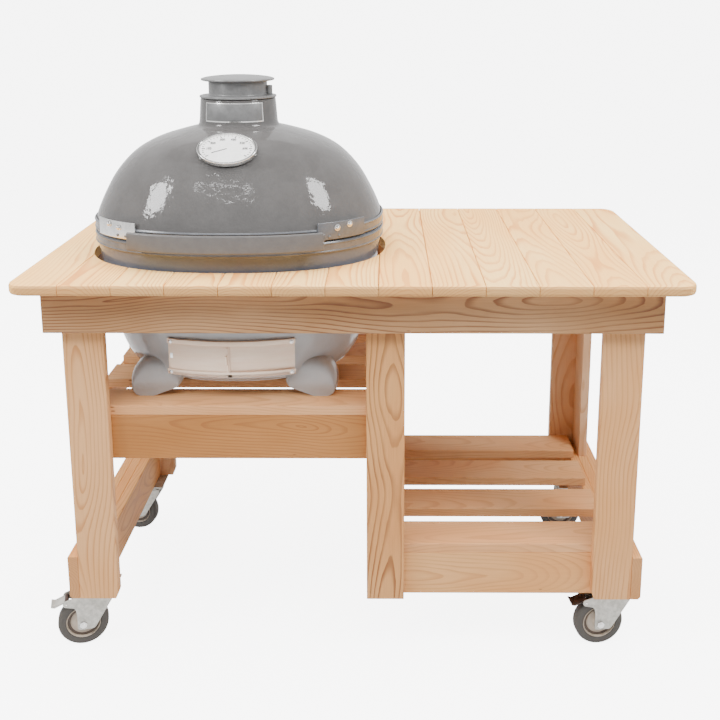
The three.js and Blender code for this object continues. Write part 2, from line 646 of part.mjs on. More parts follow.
// Casters. Each is made about its swivel axis, with the wheel trailing towards -X.

function casterPlate() {
  const z = [-PLATE_THICKNESS, 0];
  const plate = box([-PLATE_LENGTH / 2, PLATE_LENGTH / 2], [-PLATE_WIDTH / 2, PLATE_WIDTH / 2], z);
  const race = cylinderUp(RACE_RADIUS, [-PLATE_THICKNESS - RACE_HEIGHT, -PLATE_THICKNESS + WELD], [0, 0], 20);
  const bolts = [];
  for (const sx of [-1, 1]) {
    for (const sy of [-1, 1]) {
      const at = [sx * (PLATE_LENGTH / 2 - BOLT_INSET), sy * (PLATE_WIDTH / 2 - BOLT_INSET)];
      bolts.push(cylinderUp(BOLT_RADIUS, [-PLATE_THICKNESS - BOLT_HEAD, -PLATE_THICKNESS + WELD], at, 6));
    }
  }
  return join(plate, race, ...bolts);
}

// Heights below the plate's top, which is zero here.
const AXLE_Z = WHEEL_RADIUS - CASTER_HEIGHT;
const FORK_TOP_Z = -PLATE_THICKNESS - RACE_HEIGHT - RUNNING_GAP;
const FORK_INNER_Y = HUB_HALF_WIDTH + FORK_CLEARANCE;
const PEDAL_PIVOT = [-CASTER_TRAIL - PEDAL_PIVOT_OUT, AXLE_Z + PEDAL_PIVOT_UP];

// One cheek of the fork: upright behind the axle, slanting to the swivel in front of it.
function forkCheek(withEar) {
  const top = FORK_TOP_Z - CAP_HEIGHT;
  const tail = -CASTER_TRAIL - FORK_TAIL;
  const toe = -CASTER_TRAIL + FORK_TOE;
  const sole = AXLE_Z - FORK_DROP;
  const shape = new THREE.Shape();
  shape.moveTo(tail, top);
  if (withEar) {
    const [px, pz] = PEDAL_PIVOT;
    shape.lineTo(px, pz + EAR_RADIUS);
    shape.absarc(px, pz, EAR_RADIUS, Math.PI / 2, (3 * Math.PI) / 2, false);
    shape.lineTo(tail, pz - EAR_RADIUS - EAR_RADIUS);
  }
  shape.lineTo(tail, sole + FORK_CORNER);
  shape.lineTo(tail + FORK_CORNER, sole);
  shape.lineTo(toe - FORK_CORNER, sole);
  shape.lineTo(toe, sole + FORK_CORNER);
  shape.lineTo(FORK_FRONT, top - FORK_SHOULDER);
  shape.lineTo(FORK_FRONT, top);
  shape.closePath();
  return shape;
}

function casterFork(withEar) {
  const cheek = forkCheek(withEar);
  const outerY = FORK_INNER_Y + FORK_THICKNESS;
  const crownTop = FORK_TOP_Z - CAP_HEIGHT + WELD;
  const parts = [
    crosswise(cheek, [FORK_INNER_Y, outerY], 4),
    crosswise(cheek, [-outerY, -FORK_INNER_Y], 4),
    box([-CASTER_TRAIL - FORK_TAIL, FORK_FRONT], [-outerY, outerY], [crownTop - CROWN_HEIGHT, crownTop]),
    cylinderUp(CAP_RADIUS, [FORK_TOP_Z - CAP_HEIGHT, FORK_TOP_Z], [0, 0], 20),
    cylinderAlongY(AXLE_RADIUS, [-outerY, outerY], [-CASTER_TRAIL, AXLE_Z]),
    cylinderAlongY(NUT_RADIUS, [outerY - WELD, outerY + NUT_HEIGHT], [-CASTER_TRAIL, AXLE_Z], 6),
    cylinderAlongY(NUT_RADIUS, [-outerY - NUT_HEIGHT, -outerY + WELD], [-CASTER_TRAIL, AXLE_Z], 6),
  ];
  if (withEar) parts.push(cylinderAlongY(PEDAL_PIN_RADIUS, [-outerY, outerY], PEDAL_PIVOT, 12));
  return join(...parts);
}

// Tyre, rim and hub in one turning piece, bored for the axle.
function casterWheel() {
  const bore = AXLE_RADIUS + RUNNING_GAP;
  const half = [
    [bore, HUB_HALF_WIDTH],
    [HUB_RADIUS, HUB_HALF_WIDTH],
    [HUB_RADIUS, TREAD_HALF_WIDTH - RIM_RECESS],
    [RIM_RADIUS, TREAD_HALF_WIDTH - RIM_RECESS],
    [TYRE_INNER_RADIUS, TREAD_HALF_WIDTH],
    [WHEEL_RADIUS - TYRE_SHOULDER, TREAD_HALF_WIDTH],
    [WHEEL_RADIUS, TREAD_HALF_WIDTH - TYRE_SHOULDER],
  ];
  const mirrored = half.map(([r, y]) => [r, -y]).reverse();
  const g = turned([...half, ...mirrored, half[0]], WHEEL_SEGMENTS);
  return g.rotateX(Math.PI / 2).translate(-CASTER_TRAIL, 0, AXLE_Z);
}

// The pedal turns on a pin between the fork's ears. Its shoe hangs clear of the tread at rest and
// points straight at the axle when the pedal is down.
function brakePedal() {
  const [px, pz] = PEDAL_PIVOT;
  const wide = [-PEDAL_HALF_WIDTH, PEDAL_HALF_WIDTH];
  const tip = [px - PEDAL_LENGTH, pz - PEDAL_DROP];
  const tread = new THREE.Shape();
  tread.moveTo(px, pz + PEDAL_BARREL_RADIUS - PEDAL_THICKNESS);
  tread.lineTo(px, pz + PEDAL_BARREL_RADIUS);
  tread.lineTo(tip[0] + PEDAL_LIP, tip[1] + PEDAL_BARREL_RADIUS);
  tread.lineTo(tip[0], tip[1] + PEDAL_BARREL_RADIUS + PEDAL_THICKNESS);
  tread.lineTo(tip[0], tip[1] + PEDAL_BARREL_RADIUS);
  tread.lineTo(tip[0] + PEDAL_LIP, tip[1] + PEDAL_BARREL_RADIUS - PEDAL_THICKNESS);
  tread.closePath();
  const lean = Math.atan2(PEDAL_PIVOT_OUT, PEDAL_PIVOT_UP) - THREE.MathUtils.degToRad(PEDAL_STROKE_DEGREES);
  const shoeThickness = [-SHOE_HALF_WIDTH, SHOE_HALF_WIDTH];
  const shoeWidth = [-TREAD_HALF_WIDTH, TREAD_HALF_WIDTH];
  const shoe = box(shoeThickness, shoeWidth, [-SHOE_REACH, 0]).rotateY(-lean).translate(px, 0, pz);
  const body = join(cylinderAlongY(PEDAL_BARREL_RADIUS, wide, PEDAL_PIVOT), crosswise(tread, wide), shoe);
  const beyond = [-PEDAL_HALF_WIDTH - OVERRUN, PEDAL_HALF_WIDTH + OVERRUN];
  return cut(body, cylinderAlongY(PEDAL_PIN_RADIUS + RUNNING_GAP, beyond, PEDAL_PIVOT, 12));
}

function addCasters() {
  for (const [corner, yaw] of Object.entries(CASTER_YAW_DEGREES)) {
    const side = corner.endsWith("left") ? -1 : 1;
    const front = corner.startsWith("front");
    const fixed = new THREE.Group();
    const y = front ? FRONT_FACE_Y + CASTER_INSET : BACK_FACE_Y - CASTER_INSET;
    fixed.position.set(side * LEG_INNER_X, y, CASTER_HEIGHT);
    place("caster_plate_" + corner, casterPlate(), steel, fixed);
    const swivel = new THREE.Group();
    swivel.rotation.z = THREE.MathUtils.degToRad(yaw);
    place("caster_fork_" + corner, casterFork(front), steel, swivel);
    place("caster_wheel_" + corner, casterWheel(), tyreRubber, swivel);
    if (front) place("caster_brake_" + corner, brakePedal(), steel, swivel);
    fixed.add(swivel);
    table.add(fixed);
  }
}

// Grill.

const bowlOutside = BOWL_OUTLINE_SHARES.map(([width, height]) => [
  width * GRILL_HALF_WIDTH,
  GRILL_SHELF_Z + height * BOWL_HEIGHT,
]);
const lidBottomZ = SEAM_Z + SEAT_GAP;
const neckTopZ = lidBottomZ + DOME_HEIGHT + NECK_HEIGHT;
const lidOutside = [
  ...LID_OUTLINE_SHARES.map(([width, height]) => [
    width * GRILL_HALF_WIDTH,
    lidBottomZ + height * DOME_HEIGHT,
  ]),
  [NECK_RADIUS, lidBottomZ + DOME_HEIGHT + NECK_FLARE],
  [NECK_RADIUS - NECK_TAPER, neckTopZ],
];

// The bowl's half-depth at a height, between the points of its outline.
function bowlHalfDepth(z) {
  const above = bowlOutside.findIndex(([, height]) => height > z);
  const [r0, z0] = bowlOutside[above - 1];
  const [r1, z1] = bowlOutside[above];
  const r = THREE.MathUtils.lerp(r0, r1, (z - z0) / (z1 - z0));
  return r * depthShare(r);
}

const draftFaceY = GRILL_CENTRE_Y - bowlHalfDepth(DRAFT_Z + DRAFT_HEIGHT) - DRAFT_PROUD;
const draftCentreY = draftFaceY + DRAFT_RADIUS;

// A foot: rounded outside, with a flat sole and a toe that slants up towards the middle.
function footShape(side) {
  const outer = side * FOOT_OUTER_X;
  const swell = side * (FOOT_TOE_RISE / 3);
  const z = GRILL_SHELF_Z;
  const shape = new THREE.Shape();
  shape.moveTo(outer - swell, z);
  shape.lineTo(outer - side * FOOT_SOLE_WIDTH, z);
  shape.lineTo(outer - side * FOOT_WIDTH, z + FOOT_TOE_RISE);
  shape.lineTo(outer - side * FOOT_WIDTH, z + FOOT_HEIGHT);
  shape.lineTo(outer - side * FOOT_TOE_RISE, z + FOOT_HEIGHT);
  shape.quadraticCurveTo(outer + swell, z + FOOT_TOE_RISE, outer - swell, z);
  return shape;
}

function bowl() {
  const floorZ = bowlOutside[0][1];
  const rim = bowlOutside[bowlOutside.length - 1];
  const outside = ovalTurned([[0, floorZ], ...bowlOutside, [0, rim[1]]]);
  const wallPoints = bowlOutside
    .filter(([, z], i) => i % 2 === 1 && z > floorZ + BOWL_FLOOR && z < LEDGE_Z)
    .map(([r, z]) => [Math.min(r - BOWL_WALL, LEDGE_RADIUS), z]);
  const inside = ovalTurned([
    [0, floorZ + BOWL_FLOOR],
    [wallPoints[0][0] - BOWL_WALL, floorZ + BOWL_FLOOR],
    ...wallPoints,
    [LEDGE_RADIUS, LEDGE_Z],
    [RIM_BORE_RADIUS, LEDGE_Z],
    [RIM_BORE_RADIUS, rim[1] + OVERRUN],
    [0, rim[1] + OVERRUN],
  ]);
  const pad = draftPlate(
    [DRAFT_RADIUS - DRAFT_PAD_DEPTH, DRAFT_RADIUS],
    [-DRAFT_HALF_DEGREES, DRAFT_HALF_DEGREES],
    [DRAFT_Z - DRAFT_PAD_MARGIN, DRAFT_Z + DRAFT_HEIGHT + DRAFT_PAD_MARGIN],
  );
  const feet = [];
  const footFrontY = draftFaceY + FOOT_SETBACK;
  for (const side of [-1, 1]) {
    for (const y of [footFrontY, 2 * GRILL_CENTRE_Y - footFrontY - FOOT_DEPTH]) {
      feet.push(crosswise(footShape(side), [y, y + FOOT_DEPTH]).translate(GRILL_CENTRE_X, 0, 0));
    }
  }
  const shell = join(outside, pad, ...feet);
  const draft = draftPlate(
    [DRAFT_RADIUS - 2 * DRAFT_PAD_DEPTH, DRAFT_RADIUS + OVERRUN],
    DRAFT_OPENING_DEGREES,
    DRAFT_OPENING_Z,
  );
  const seat = draftPlate(
    [DRAFT_RADIUS, DRAFT_RADIUS + DRAFT_PAD_DEPTH],
    [-DRAFT_HALF_DEGREES - DRAFT_SEAT_DEGREES, DRAFT_HALF_DEGREES + DRAFT_SEAT_DEGREES],
    [DRAFT_Z - RUNNING_GAP, DRAFT_Z + DRAFT_HEIGHT + RUNNING_GAP],
  );
  return cut(shell, inside, draft, seat);
}

// The draft opening is the left half of its frame.
const DRAFT_OPENING_DEGREES = [-DRAFT_HALF_DEGREES + DRAFT_POST_DEGREES, -DRAFT_MULLION_DEGREES];
const DRAFT_DOOR_DEGREES = [-DRAFT_HALF_DEGREES + DRAFT_TAB_DEGREES, 0];
const DRAFT_OPENING_Z = [DRAFT_Z + DRAFT_OPENING_MARGIN, DRAFT_Z + DRAFT_HEIGHT - DRAFT_OPENING_MARGIN];

function draftFrame() {
  const span = [-DRAFT_HALF_DEGREES, DRAFT_HALF_DEGREES];
  const back = DRAFT_RADIUS + RUNNING_GAP;
  const face = back + DRAFT_PLATE;
  const lipBack = face + DRAFT_DOOR_PLATE + 2 * RUNNING_GAP;
  const lipFront = lipBack + DRAFT_LIP;
  const top = DRAFT_Z + DRAFT_HEIGHT;
  const plate = draftPlate([back, face], span, [DRAFT_Z, top]);
  const rails = [
    draftPlate([back, lipFront], span, [top - DRAFT_RAIL_HEIGHT, top]),
    draftPlate([lipBack, lipFront], span, [top - DRAFT_LIP_HEIGHT, top]),
    draftPlate([back, lipFront], span, [DRAFT_Z, DRAFT_Z + DRAFT_RAIL_HEIGHT]),
    draftPlate([lipBack, lipFront], span, [DRAFT_Z, DRAFT_Z + DRAFT_LIP_HEIGHT]),
  ];
  const reach = [back - OVERRUN, lipFront + OVERRUN];
  return cut(join(plate, ...rails), draftPlate(reach, DRAFT_OPENING_DEGREES, DRAFT_OPENING_Z));
}

function draftDoor() {
  const back = DRAFT_RADIUS + 2 * RUNNING_GAP + DRAFT_PLATE;
  const face = back + DRAFT_DOOR_PLATE;
  const z = [DRAFT_Z + DRAFT_DOOR_MARGIN, DRAFT_Z + DRAFT_HEIGHT - DRAFT_DOOR_MARGIN];
  const plate = draftPlate([back, face], DRAFT_DOOR_DEGREES, z);
  const middle = DRAFT_Z + DRAFT_HEIGHT / 2;
  const tab = draftPlate(
    [face - WELD, face + DRAFT_TAB_REACH],
    [DRAFT_DOOR_DEGREES[1] - 2 * DRAFT_TAB_DEGREES, DRAFT_DOOR_DEGREES[1] - DRAFT_TAB_DEGREES],
    [middle - DRAFT_TAB_HEIGHT / 2, middle + DRAFT_TAB_HEIGHT / 2],
  );
  return join(plate, tab);
}

// Where the dial stands on the front of the lid: the place and the outward direction.
function dialSeat() {
  const at = (i) => {
    const [r, z] = lidOutside[i];
    return new THREE.Vector2(GRILL_CENTRE_Y - r * depthShare(r), z);
  };
  const here = at(DIAL_OUTLINE_INDEX);
  const along = at(DIAL_OUTLINE_INDEX + 1).sub(at(DIAL_OUTLINE_INDEX - 1)).normalize();
  return { y: here.x, z: here.y, tilt: Math.atan2(along.x, along.y) };
}

// Puts a piece made about +Z onto the dial's seat.
function ontoSeat(geometry) {
  const { y, z, tilt } = dialSeat();
  return geometry.rotateX(Math.PI / 2 - tilt).translate(GRILL_CENTRE_X, y, z);
}

function lid() {
  const rimZ = lidOutside[0][1];
  const inside = lidOutside
    .filter(([r, z], i) => i % 2 === 1 && r > FLUE_RADIUS + LID_WALL && z > rimZ)
    .map(([r, z]) => [r - LID_WALL, Math.max(rimZ, z - LID_WALL)])
    .reverse();
  const shell = ovalTurned([
    ...lidOutside,
    [FLUE_RADIUS, neckTopZ],
    [FLUE_RADIUS, inside[0][1]],
    ...inside,
    [inside[inside.length - 1][0], rimZ],
    lidOutside[0],
  ]);
  const stemHole = cylinderUp(STEM_RADIUS + RUNNING_GAP, [-STEM_LENGTH - OVERRUN, OVERRUN], [0, 0]);
  return cut(shell, ontoSeat(stemHole));
}

function thermometer() {
  const oval = (radius, z) => cylinderUp(radius, z, [0, 0], 32).scale(1, DIAL_SHARE, 1);
  const body = oval(DIAL_HALF_WIDTH, [FIT_GAP, DIAL_THICKNESS]);
  const recess = oval(DIAL_HALF_WIDTH - DIAL_BEZEL, [DIAL_THICKNESS - DIAL_RECESS, DIAL_THICKNESS + OVERRUN]);
  const stem = cylinderUp(STEM_RADIUS, [-STEM_LENGTH, FIT_GAP + WELD], [0, 0]);
  return ontoSeat(join(cut(body, recess), stem));
}

// An oval hoop between two half-widths and two heights.
function hoop([inner, outer], [z0, z1]) {
  return ovalTurned([[inner, z0], [outer, z0], [outer, z1], [inner, z1], [inner, z0]]);
}

// A steel band round the shell, between two heights.
const BAND_RADII = [lidOutside[0][0] + FIT_GAP, lidOutside[0][0] + FIT_GAP + BAND_THICKNESS];
const band = (z) => hoop(BAND_RADII, z);

// The lid's handle: a bar that follows the front of the band, on a bracket at each end.
function handle(bottom) {
  const outside = BAND_RADII[1];
  const frontY = GRILL_CENTRE_Y - outside - HANDLE_STANDOFF - HANDLE_THICKNESS;
  const barRadii = [outside + HANDLE_STANDOFF, outside + HANDLE_STANDOFF + HANDLE_THICKNESS];
  const barZ = [bottom - HANDLE_DROP, bottom - HANDLE_DROP + HANDLE_HEIGHT];
  const barX = [GRILL_CENTRE_X - HANDLE_HALF_WIDTH, GRILL_CENTRE_X + HANDLE_HALF_WIDTH];
  const parts = [overlapOf(hoop(barRadii, barZ), box(barX, [frontY, GRILL_CENTRE_Y], barZ))];
  const bracketZ = [bottom + WELD, bottom + BRACKET_HEIGHT];
  const bracketRadii = [outside - WELD, barRadii[0] + WELD];
  for (const side of [-1, 1]) {
    const x = [side * (HANDLE_HALF_WIDTH - BRACKET_WIDTH), side * HANDLE_HALF_WIDTH].sort((a, b) => a - b);
    const reach = box(x.map((v) => v + GRILL_CENTRE_X), [frontY, GRILL_CENTRE_Y], bracketZ);
    parts.push(overlapOf(hoop(bracketRadii, bracketZ), reach));
  }
  return join(...parts);
}

// Everything that a band's shell takes up, which the hinge links are trimmed back to.
function bandCore() {
  const radius = lidOutside[0][0] + FIT_GAP;
  const z = [SEAM_Z - 2 * BAND_HEIGHT, SEAM_Z + 2 * BAND_HEIGHT];
  return ovalTurned([[0, z[0]], [radius, z[0]], [radius, z[1]], [0, z[1]]]);
}

function hingePlaces() {
  const r = lidOutside[0][0] + FIT_GAP + BAND_THICKNESS;
  const backY = GRILL_CENTRE_Y + r * depthShare(r);
  const earX = HINGE_HALF_WIDTH - HINGE_EAR_WIDTH;
  return { y: backY + HINGE_OFFSET, earX, linkFrom: backY - HINGE_LINK_HEIGHT };
}

// The bowl's band carries two hinge ears and the pin between them.
function bowlBand() {
  const { y, earX, linkFrom } = hingePlaces();
  const top = SEAM_Z - BAND_FROM_SEAM;
  const parts = [band([top - BAND_HEIGHT, top])];
  for (const side of [-1, 1]) {
    const x = [side * earX, side * HINGE_HALF_WIDTH].sort((a, b) => a - b).map((v) => v + GRILL_CENTRE_X);
    parts.push(box(x, [linkFrom, y], [top - HINGE_LINK_HEIGHT, top]));
    parts.push(cylinderAlongX(HINGE_BARREL_RADIUS, x, [y, SEAM_Z]));
  }
  const pinX = [GRILL_CENTRE_X - HINGE_HALF_WIDTH, GRILL_CENTRE_X + HINGE_HALF_WIDTH];
  parts.push(cylinderAlongX(HINGE_PIN_RADIUS, pinX, [y, SEAM_Z]));
  return cut(join(...parts), bandCore());
}

// The lid's band carries the handle, and the hinge knuckle that turns on that pin.
function lidBand() {
  const { y, earX, linkFrom } = hingePlaces();
  const bottom = SEAM_Z + BAND_FROM_SEAM;
  const x = [GRILL_CENTRE_X - earX + SEAT_GAP, GRILL_CENTRE_X + earX - SEAT_GAP];
  const body = join(
    band([bottom, bottom + BAND_HEIGHT]),
    box(x, [linkFrom, y], [bottom, bottom + HINGE_LINK_HEIGHT]),
    cylinderAlongX(HINGE_BARREL_RADIUS, x, [y, SEAM_Z]),
    handle(bottom),
  );
  const beyond = [x[0] - OVERRUN, x[1] + OVERRUN];
  return cut(body, bandCore(), cylinderAlongX(HINGE_PIN_RADIUS + RUNNING_GAP, beyond, [y, SEAM_Z]));
}

const VENT_Z = neckTopZ + RUNNING_GAP;
const CAP_PIVOT_X = GRILL_CENTRE_X + VENT_RADIUS - VENT_WALL / 2;

function ventBody() {
  const inner = VENT_RADIUS - VENT_WALL;
  const top = VENT_Z + VENT_HEIGHT;
  const flange = NECK_RADIUS - NECK_TAPER + VENT_FLANGE_LAP;
  const tube = turned(
    [
      [inner, VENT_Z], [flange, VENT_Z], [flange, VENT_Z + VENT_FLANGE_HEIGHT],
      [VENT_RADIUS, VENT_Z + VENT_FLANGE_HEIGHT], [VENT_RADIUS, top], [inner, top], [inner, VENT_Z],
    ],
    GRILL_SEGMENTS,
  ).translate(GRILL_CENTRE_X, GRILL_CENTRE_Y, 0);
  const lugX = GRILL_CENTRE_X + VENT_RADIUS + VENT_LUG_RADIUS / 2;
  const lug = cylinderUp(VENT_LUG_RADIUS, [VENT_Z + WELD, VENT_Z + VENT_LUG_HEIGHT], [lugX, GRILL_CENTRE_Y]);
  const pinZ = [top - WELD, top + CAP_PIN_HEIGHT];
  const pin = cylinderUp(CAP_PIN_RADIUS, pinZ, [CAP_PIVOT_X, GRILL_CENTRE_Y], 12);
  return join(tube, lug, pin);
}

// The mushroom cap swings aside about its pin to open the flue.
function ventCap() {
  const z = VENT_Z + VENT_HEIGHT + FIT_GAP;
  const outline = CAP_OUTLINE_SHARES.map(
    ([width, rise]) => [width * CAP_LID_RADIUS, z + rise * CAP_LID_RISE],
  );
  const cap = turned([[0, z], ...outline], GRILL_SEGMENTS).translate(GRILL_CENTRE_X, GRILL_CENTRE_Y, 0);
  const socket = [z - OVERRUN, z + CAP_PIN_HEIGHT];
  return cut(cap, cylinderUp(CAP_PIN_RADIUS + RUNNING_GAP, socket, [CAP_PIVOT_X, GRILL_CENTRE_Y], 12));
}

function cookingGrate() {
  const z = [LEDGE_Z, LEDGE_Z + GRATE_THICKNESS];
  const radius = RIM_BORE_RADIUS - GRATE_PLAY;
  const disc = ovalTurned([[0, z[0]], [radius, z[0]], [radius, z[1]], [0, z[1]]]);
  const field = radius - GRATE_RING;
  const pitch = GRATE_BAR + GRATE_SLOT;
  const count = Math.floor((2 * field) / pitch);
  const slots = [];
  for (let i = 0; i < count; i++) {
    const middle = (i - (count - 1) / 2) * pitch;
    const widest = (Math.abs(middle) + GRATE_SLOT / 2) / field;
    if (widest >= 1) continue;
    const half = field * OVAL_SHARE * (1 - widest ** 2) ** 0.5;
    slots.push(
      box([middle - GRATE_SLOT / 2, middle + GRATE_SLOT / 2], [-half, half], [z[0] - OVERRUN, z[1] + OVERRUN])
        .translate(GRILL_CENTRE_X, GRILL_CENTRE_Y, 0),
    );
  }
  return cut(disc, ...slots);
}

function addGrill() {
  place("grill_bowl", bowl(), glaze);
  place("grill_bowl_band", bowlBand(), bandPaint);
  place("grill_cooking_grate", cookingGrate(), castIron);
  place("grill_draft_frame", draftFrame(), steel);
  place("grill_draft_door", draftDoor(), steel);
  place("grill_lid", lid(), glaze);
  place("grill_lid_band", lidBand(), bandPaint);
  place("grill_thermometer", thermometer(), dialFace);
  place("grill_vent_body", ventBody(), castIron);
  place("grill_vent_cap", ventCap(), castIron);
}

addTop();
addFrame();
addShelves();
addCasters();
addGrill();

export default table;
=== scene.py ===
# %% [markdown]
# # A kamado grill table
# A rolling table of softwood boards carries an oval ceramic grill in a cut-out of its top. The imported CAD
# part is the frame of this scene: its boards stay as they are and get a wood finish, and the grill, its
# fittings and the casters are dressed with finer surfaces that ride on the same bodies. Lengths are in
# metres, +Z is up.

# %% Load the frame
import json
import math

import bmesh
import bpy
import numpy as np
from mathutils import Matrix, Vector


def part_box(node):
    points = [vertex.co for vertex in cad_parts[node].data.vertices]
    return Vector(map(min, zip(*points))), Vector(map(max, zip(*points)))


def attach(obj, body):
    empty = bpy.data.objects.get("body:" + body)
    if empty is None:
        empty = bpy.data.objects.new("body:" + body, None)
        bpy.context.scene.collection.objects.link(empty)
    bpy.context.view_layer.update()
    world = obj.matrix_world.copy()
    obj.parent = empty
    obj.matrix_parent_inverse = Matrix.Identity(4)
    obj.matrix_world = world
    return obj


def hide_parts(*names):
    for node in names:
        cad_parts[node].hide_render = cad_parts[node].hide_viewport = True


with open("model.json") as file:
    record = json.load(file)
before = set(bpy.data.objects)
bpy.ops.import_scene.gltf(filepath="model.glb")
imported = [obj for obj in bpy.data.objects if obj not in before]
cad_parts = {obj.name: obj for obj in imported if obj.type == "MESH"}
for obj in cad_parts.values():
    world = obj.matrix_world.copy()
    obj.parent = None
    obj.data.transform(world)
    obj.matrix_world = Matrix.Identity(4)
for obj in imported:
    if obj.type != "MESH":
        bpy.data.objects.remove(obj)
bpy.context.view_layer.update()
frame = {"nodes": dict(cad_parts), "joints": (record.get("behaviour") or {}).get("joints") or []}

# %% [markdown]
# Every made surface starts as an array of points in rows and columns. A grid like that could be filled
# vertex by vertex, but whole arrays are quicker and say the shape in one formula. Two neighbours in a row
# and the two under them make one face.

# %% Grids of points become meshes
MM = 0.001


def grid_faces(rows, columns, loop_rows, loop_columns):
    """Corner numbers of all the quads of a grid; a looped direction joins its last line to its first."""
    i = np.arange(rows if loop_rows else rows - 1)[:, None]
    j = np.arange(columns if loop_columns else columns - 1)[None, :]
    i2, j2 = (i + 1) % rows, (j + 1) % columns
    quads = np.stack([i * columns + j, i * columns + j2, i2 * columns + j2, i2 * columns + j], axis=-1)
    return quads.reshape(-1, 4).tolist()


def new_object(name, points, faces):
    """An object at the origin from an array of points and faces as lists of their numbers."""
    mesh = bpy.data.meshes.new(name)
    mesh.from_pydata(np.asarray(points).reshape(-1, 3).tolist(), [], faces)
    thing = bpy.data.objects.new(name, mesh)
    bpy.context.scene.collection.objects.link(thing)
    return thing


def grid_piece(name, points, loop_rows=False, loop_columns=False, caps=False):
    """A surface from points[row, column]; caps close the first and the last row with one face each."""
    rows, columns = points.shape[:2]
    faces = grid_faces(rows, columns, loop_rows, loop_columns)
    if caps:
        faces += [list(range(columns)), list(range((rows - 1) * columns, rows * columns))]
    return new_object(name, points, faces)


print("quads in a grid of 3 by 4 points:", len(grid_faces(3, 4, False, False)))

# %% [markdown]
# A finished piece has its doubled points merged, so that poles and seams close, and its normals worked out
# anew, so that all faces point out. Faces that meet at less than the given angle are shaded as one curved
# surface.

# %% Finish a piece and hang it on its body
made = []
MERGE_DISTANCE = 0.00002


def cleaned(thing):
    """Merges doubled points and turns all faces outwards."""
    shape = bmesh.new()
    shape.from_mesh(thing.data)
    bmesh.ops.remove_doubles(shape, verts=shape.verts, dist=MERGE_DISTANCE)
    bmesh.ops.recalc_face_normals(shape, faces=shape.faces)
    shape.to_mesh(thing.data)
    shape.free()
    return thing


def finished(thing, body, material, slot, replaced=(), angle=35, bevel=0):
    """Cleans the mesh, gives it its finish, and lets it ride on a CAD body in the place of CAD nodes."""
    mesh = cleaned(thing).data
    mesh.materials.clear()
    mesh.materials.append(material)
    mesh.shade_smooth()
    mesh.set_sharp_from_angle(angle=math.radians(angle))
    if bevel:
        eased = thing.modifiers.new("rounding", "BEVEL")
        eased.width = bevel
        eased.segments = 2
        eased.limit_method = "ANGLE"
        eased.harden_normals = True
    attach(thing, body)
    if replaced:
        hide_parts(*replaced)
    made.append(thing.name)
    return thing


print("points closer than", MERGE_DISTANCE, "m are merged")

# %% [markdown]
# Profiles are short lists of points. A smooth one is drawn through its points, a machined one keeps its
# straight runs and has only its corners rounded, as a real edge that was cast, pressed or broken with
# sandpaper.

# %% Profiles
def curve_through(points, steps, loop=False):
    """Catmull-Rom: between b and c the curve is a cubic whose slope at b is (c-a)/2 and at c is (d-b)/2."""
    p = np.asarray(points, float)
    if loop:
        a, b, c, d = np.roll(p, 1, 0), p, np.roll(p, -1, 0), np.roll(p, -2, 0)
    else:
        ends = np.vstack([2 * p[0] - p[1], p, 2 * p[-1] - p[-2]])
        a, b, c, d = ends[:-3], ends[1:-2], ends[2:-1], ends[3:]
    t = (np.arange(steps) / steps)[None, :, None]
    a, b, c, d = (q[:, None, :] for q in (a, b, c, d))
    curve = 0.5 * (2 * b + (c - a) * t + (2 * a - 5 * b + 4 * c - d) * t**2 + (3 * b - a - 3 * c + d) * t**3)
    curve = curve.reshape(-1, p.shape[1])
    return curve if loop else np.vstack([curve, p[-1:]])


def softened(points, radius, steps=3, loop=True):
    """Each corner becomes a parabola that starts and ends at the radius from it, or near half its side."""
    p = np.asarray(points, float)
    ends = []
    for side in (np.roll(p, 1, 0) - p, np.roll(p, -1, 0) - p):
        length = np.linalg.norm(side, axis=1)[:, None]
        ends.append(p + side / np.maximum(length, 1e-12) * np.minimum(radius, length * 0.45))
    start, end = ends
    t = np.linspace(0, 1, steps)[None, :, None]
    arcs = start[:, None] * (1 - t) ** 2 + 2 * p[:, None] * t * (1 - t) + end[:, None] * t**2
    if not loop:
        arcs[0], arcs[-1] = p[0], p[-1]
    return arcs.reshape(-1, p.shape[1])


def rectangle(u0, u1, v0, v1):
    """The four corners of a rectangle in two axes, in order round it."""
    return np.array([[u0, v0], [u1, v0], [u1, v1], [u0, v1]], float)


print("points of a rectangle with soft corners:", len(softened(rectangle(0, 2, 0, 1), 0.1)))

# %% [markdown]
# A turned part, such as a ring or a bolt, is a profile of radius and height carried round an upright axis,
# as on a lathe. Both ends of the profile may lie on the axis, or the profile may close on itself.

# %% Turned pieces
def circle(count):
    """Angles all round, evenly spaced, as one row."""
    return np.linspace(0, 2 * np.pi, count, endpoint=False)[None, :]


def turned(name, profile, segments, centre=(0, 0), loop=False):
    """(r, z) carried round: x = cx + r cos(a), y = cy + r sin(a)."""
    p = np.asarray(profile, float)
    a = circle(segments)
    r, z = p[:, :1], p[:, 1:]
    points = np.stack([centre[0] + r * np.cos(a), centre[1] + r * np.sin(a), z + 0 * a], axis=-1)
    return grid_piece(name, points, loop_rows=loop, loop_columns=True)


print("a circle of four angles, in degrees:", np.degrees(circle(4))[0])

# %% [markdown]
# The grill's own shells are pressed out of round: a small ring stays a circle and a large one becomes an
# oval, a little squarer than an ellipse. A real shell gets that form from its mould, and here each ring's
# place on the circle is moved to the oval.

# %% Oval pieces
GRILL = np.array([-0.300, -0.050])
HALF_WIDTH, HALF_DEPTH = 364 * MM, 279.5 * MM
ROUND_R, BLEND_R = 100 * MM, 230 * MM
SQUARENESS = 0.3
FINE_STEPS = 4001


def smooth_step(t):
    """3 t^2 - 2 t^3 between 0 and 1, and level outside."""
    t = np.clip(t, 0, 1)
    return t * t * (3 - 2 * t)


def ovalness(r):
    """0 for rings under ROUND_R, 1 for rings wider by BLEND_R, and a smooth step between them."""
    return smooth_step((r - ROUND_R) / BLEND_R)


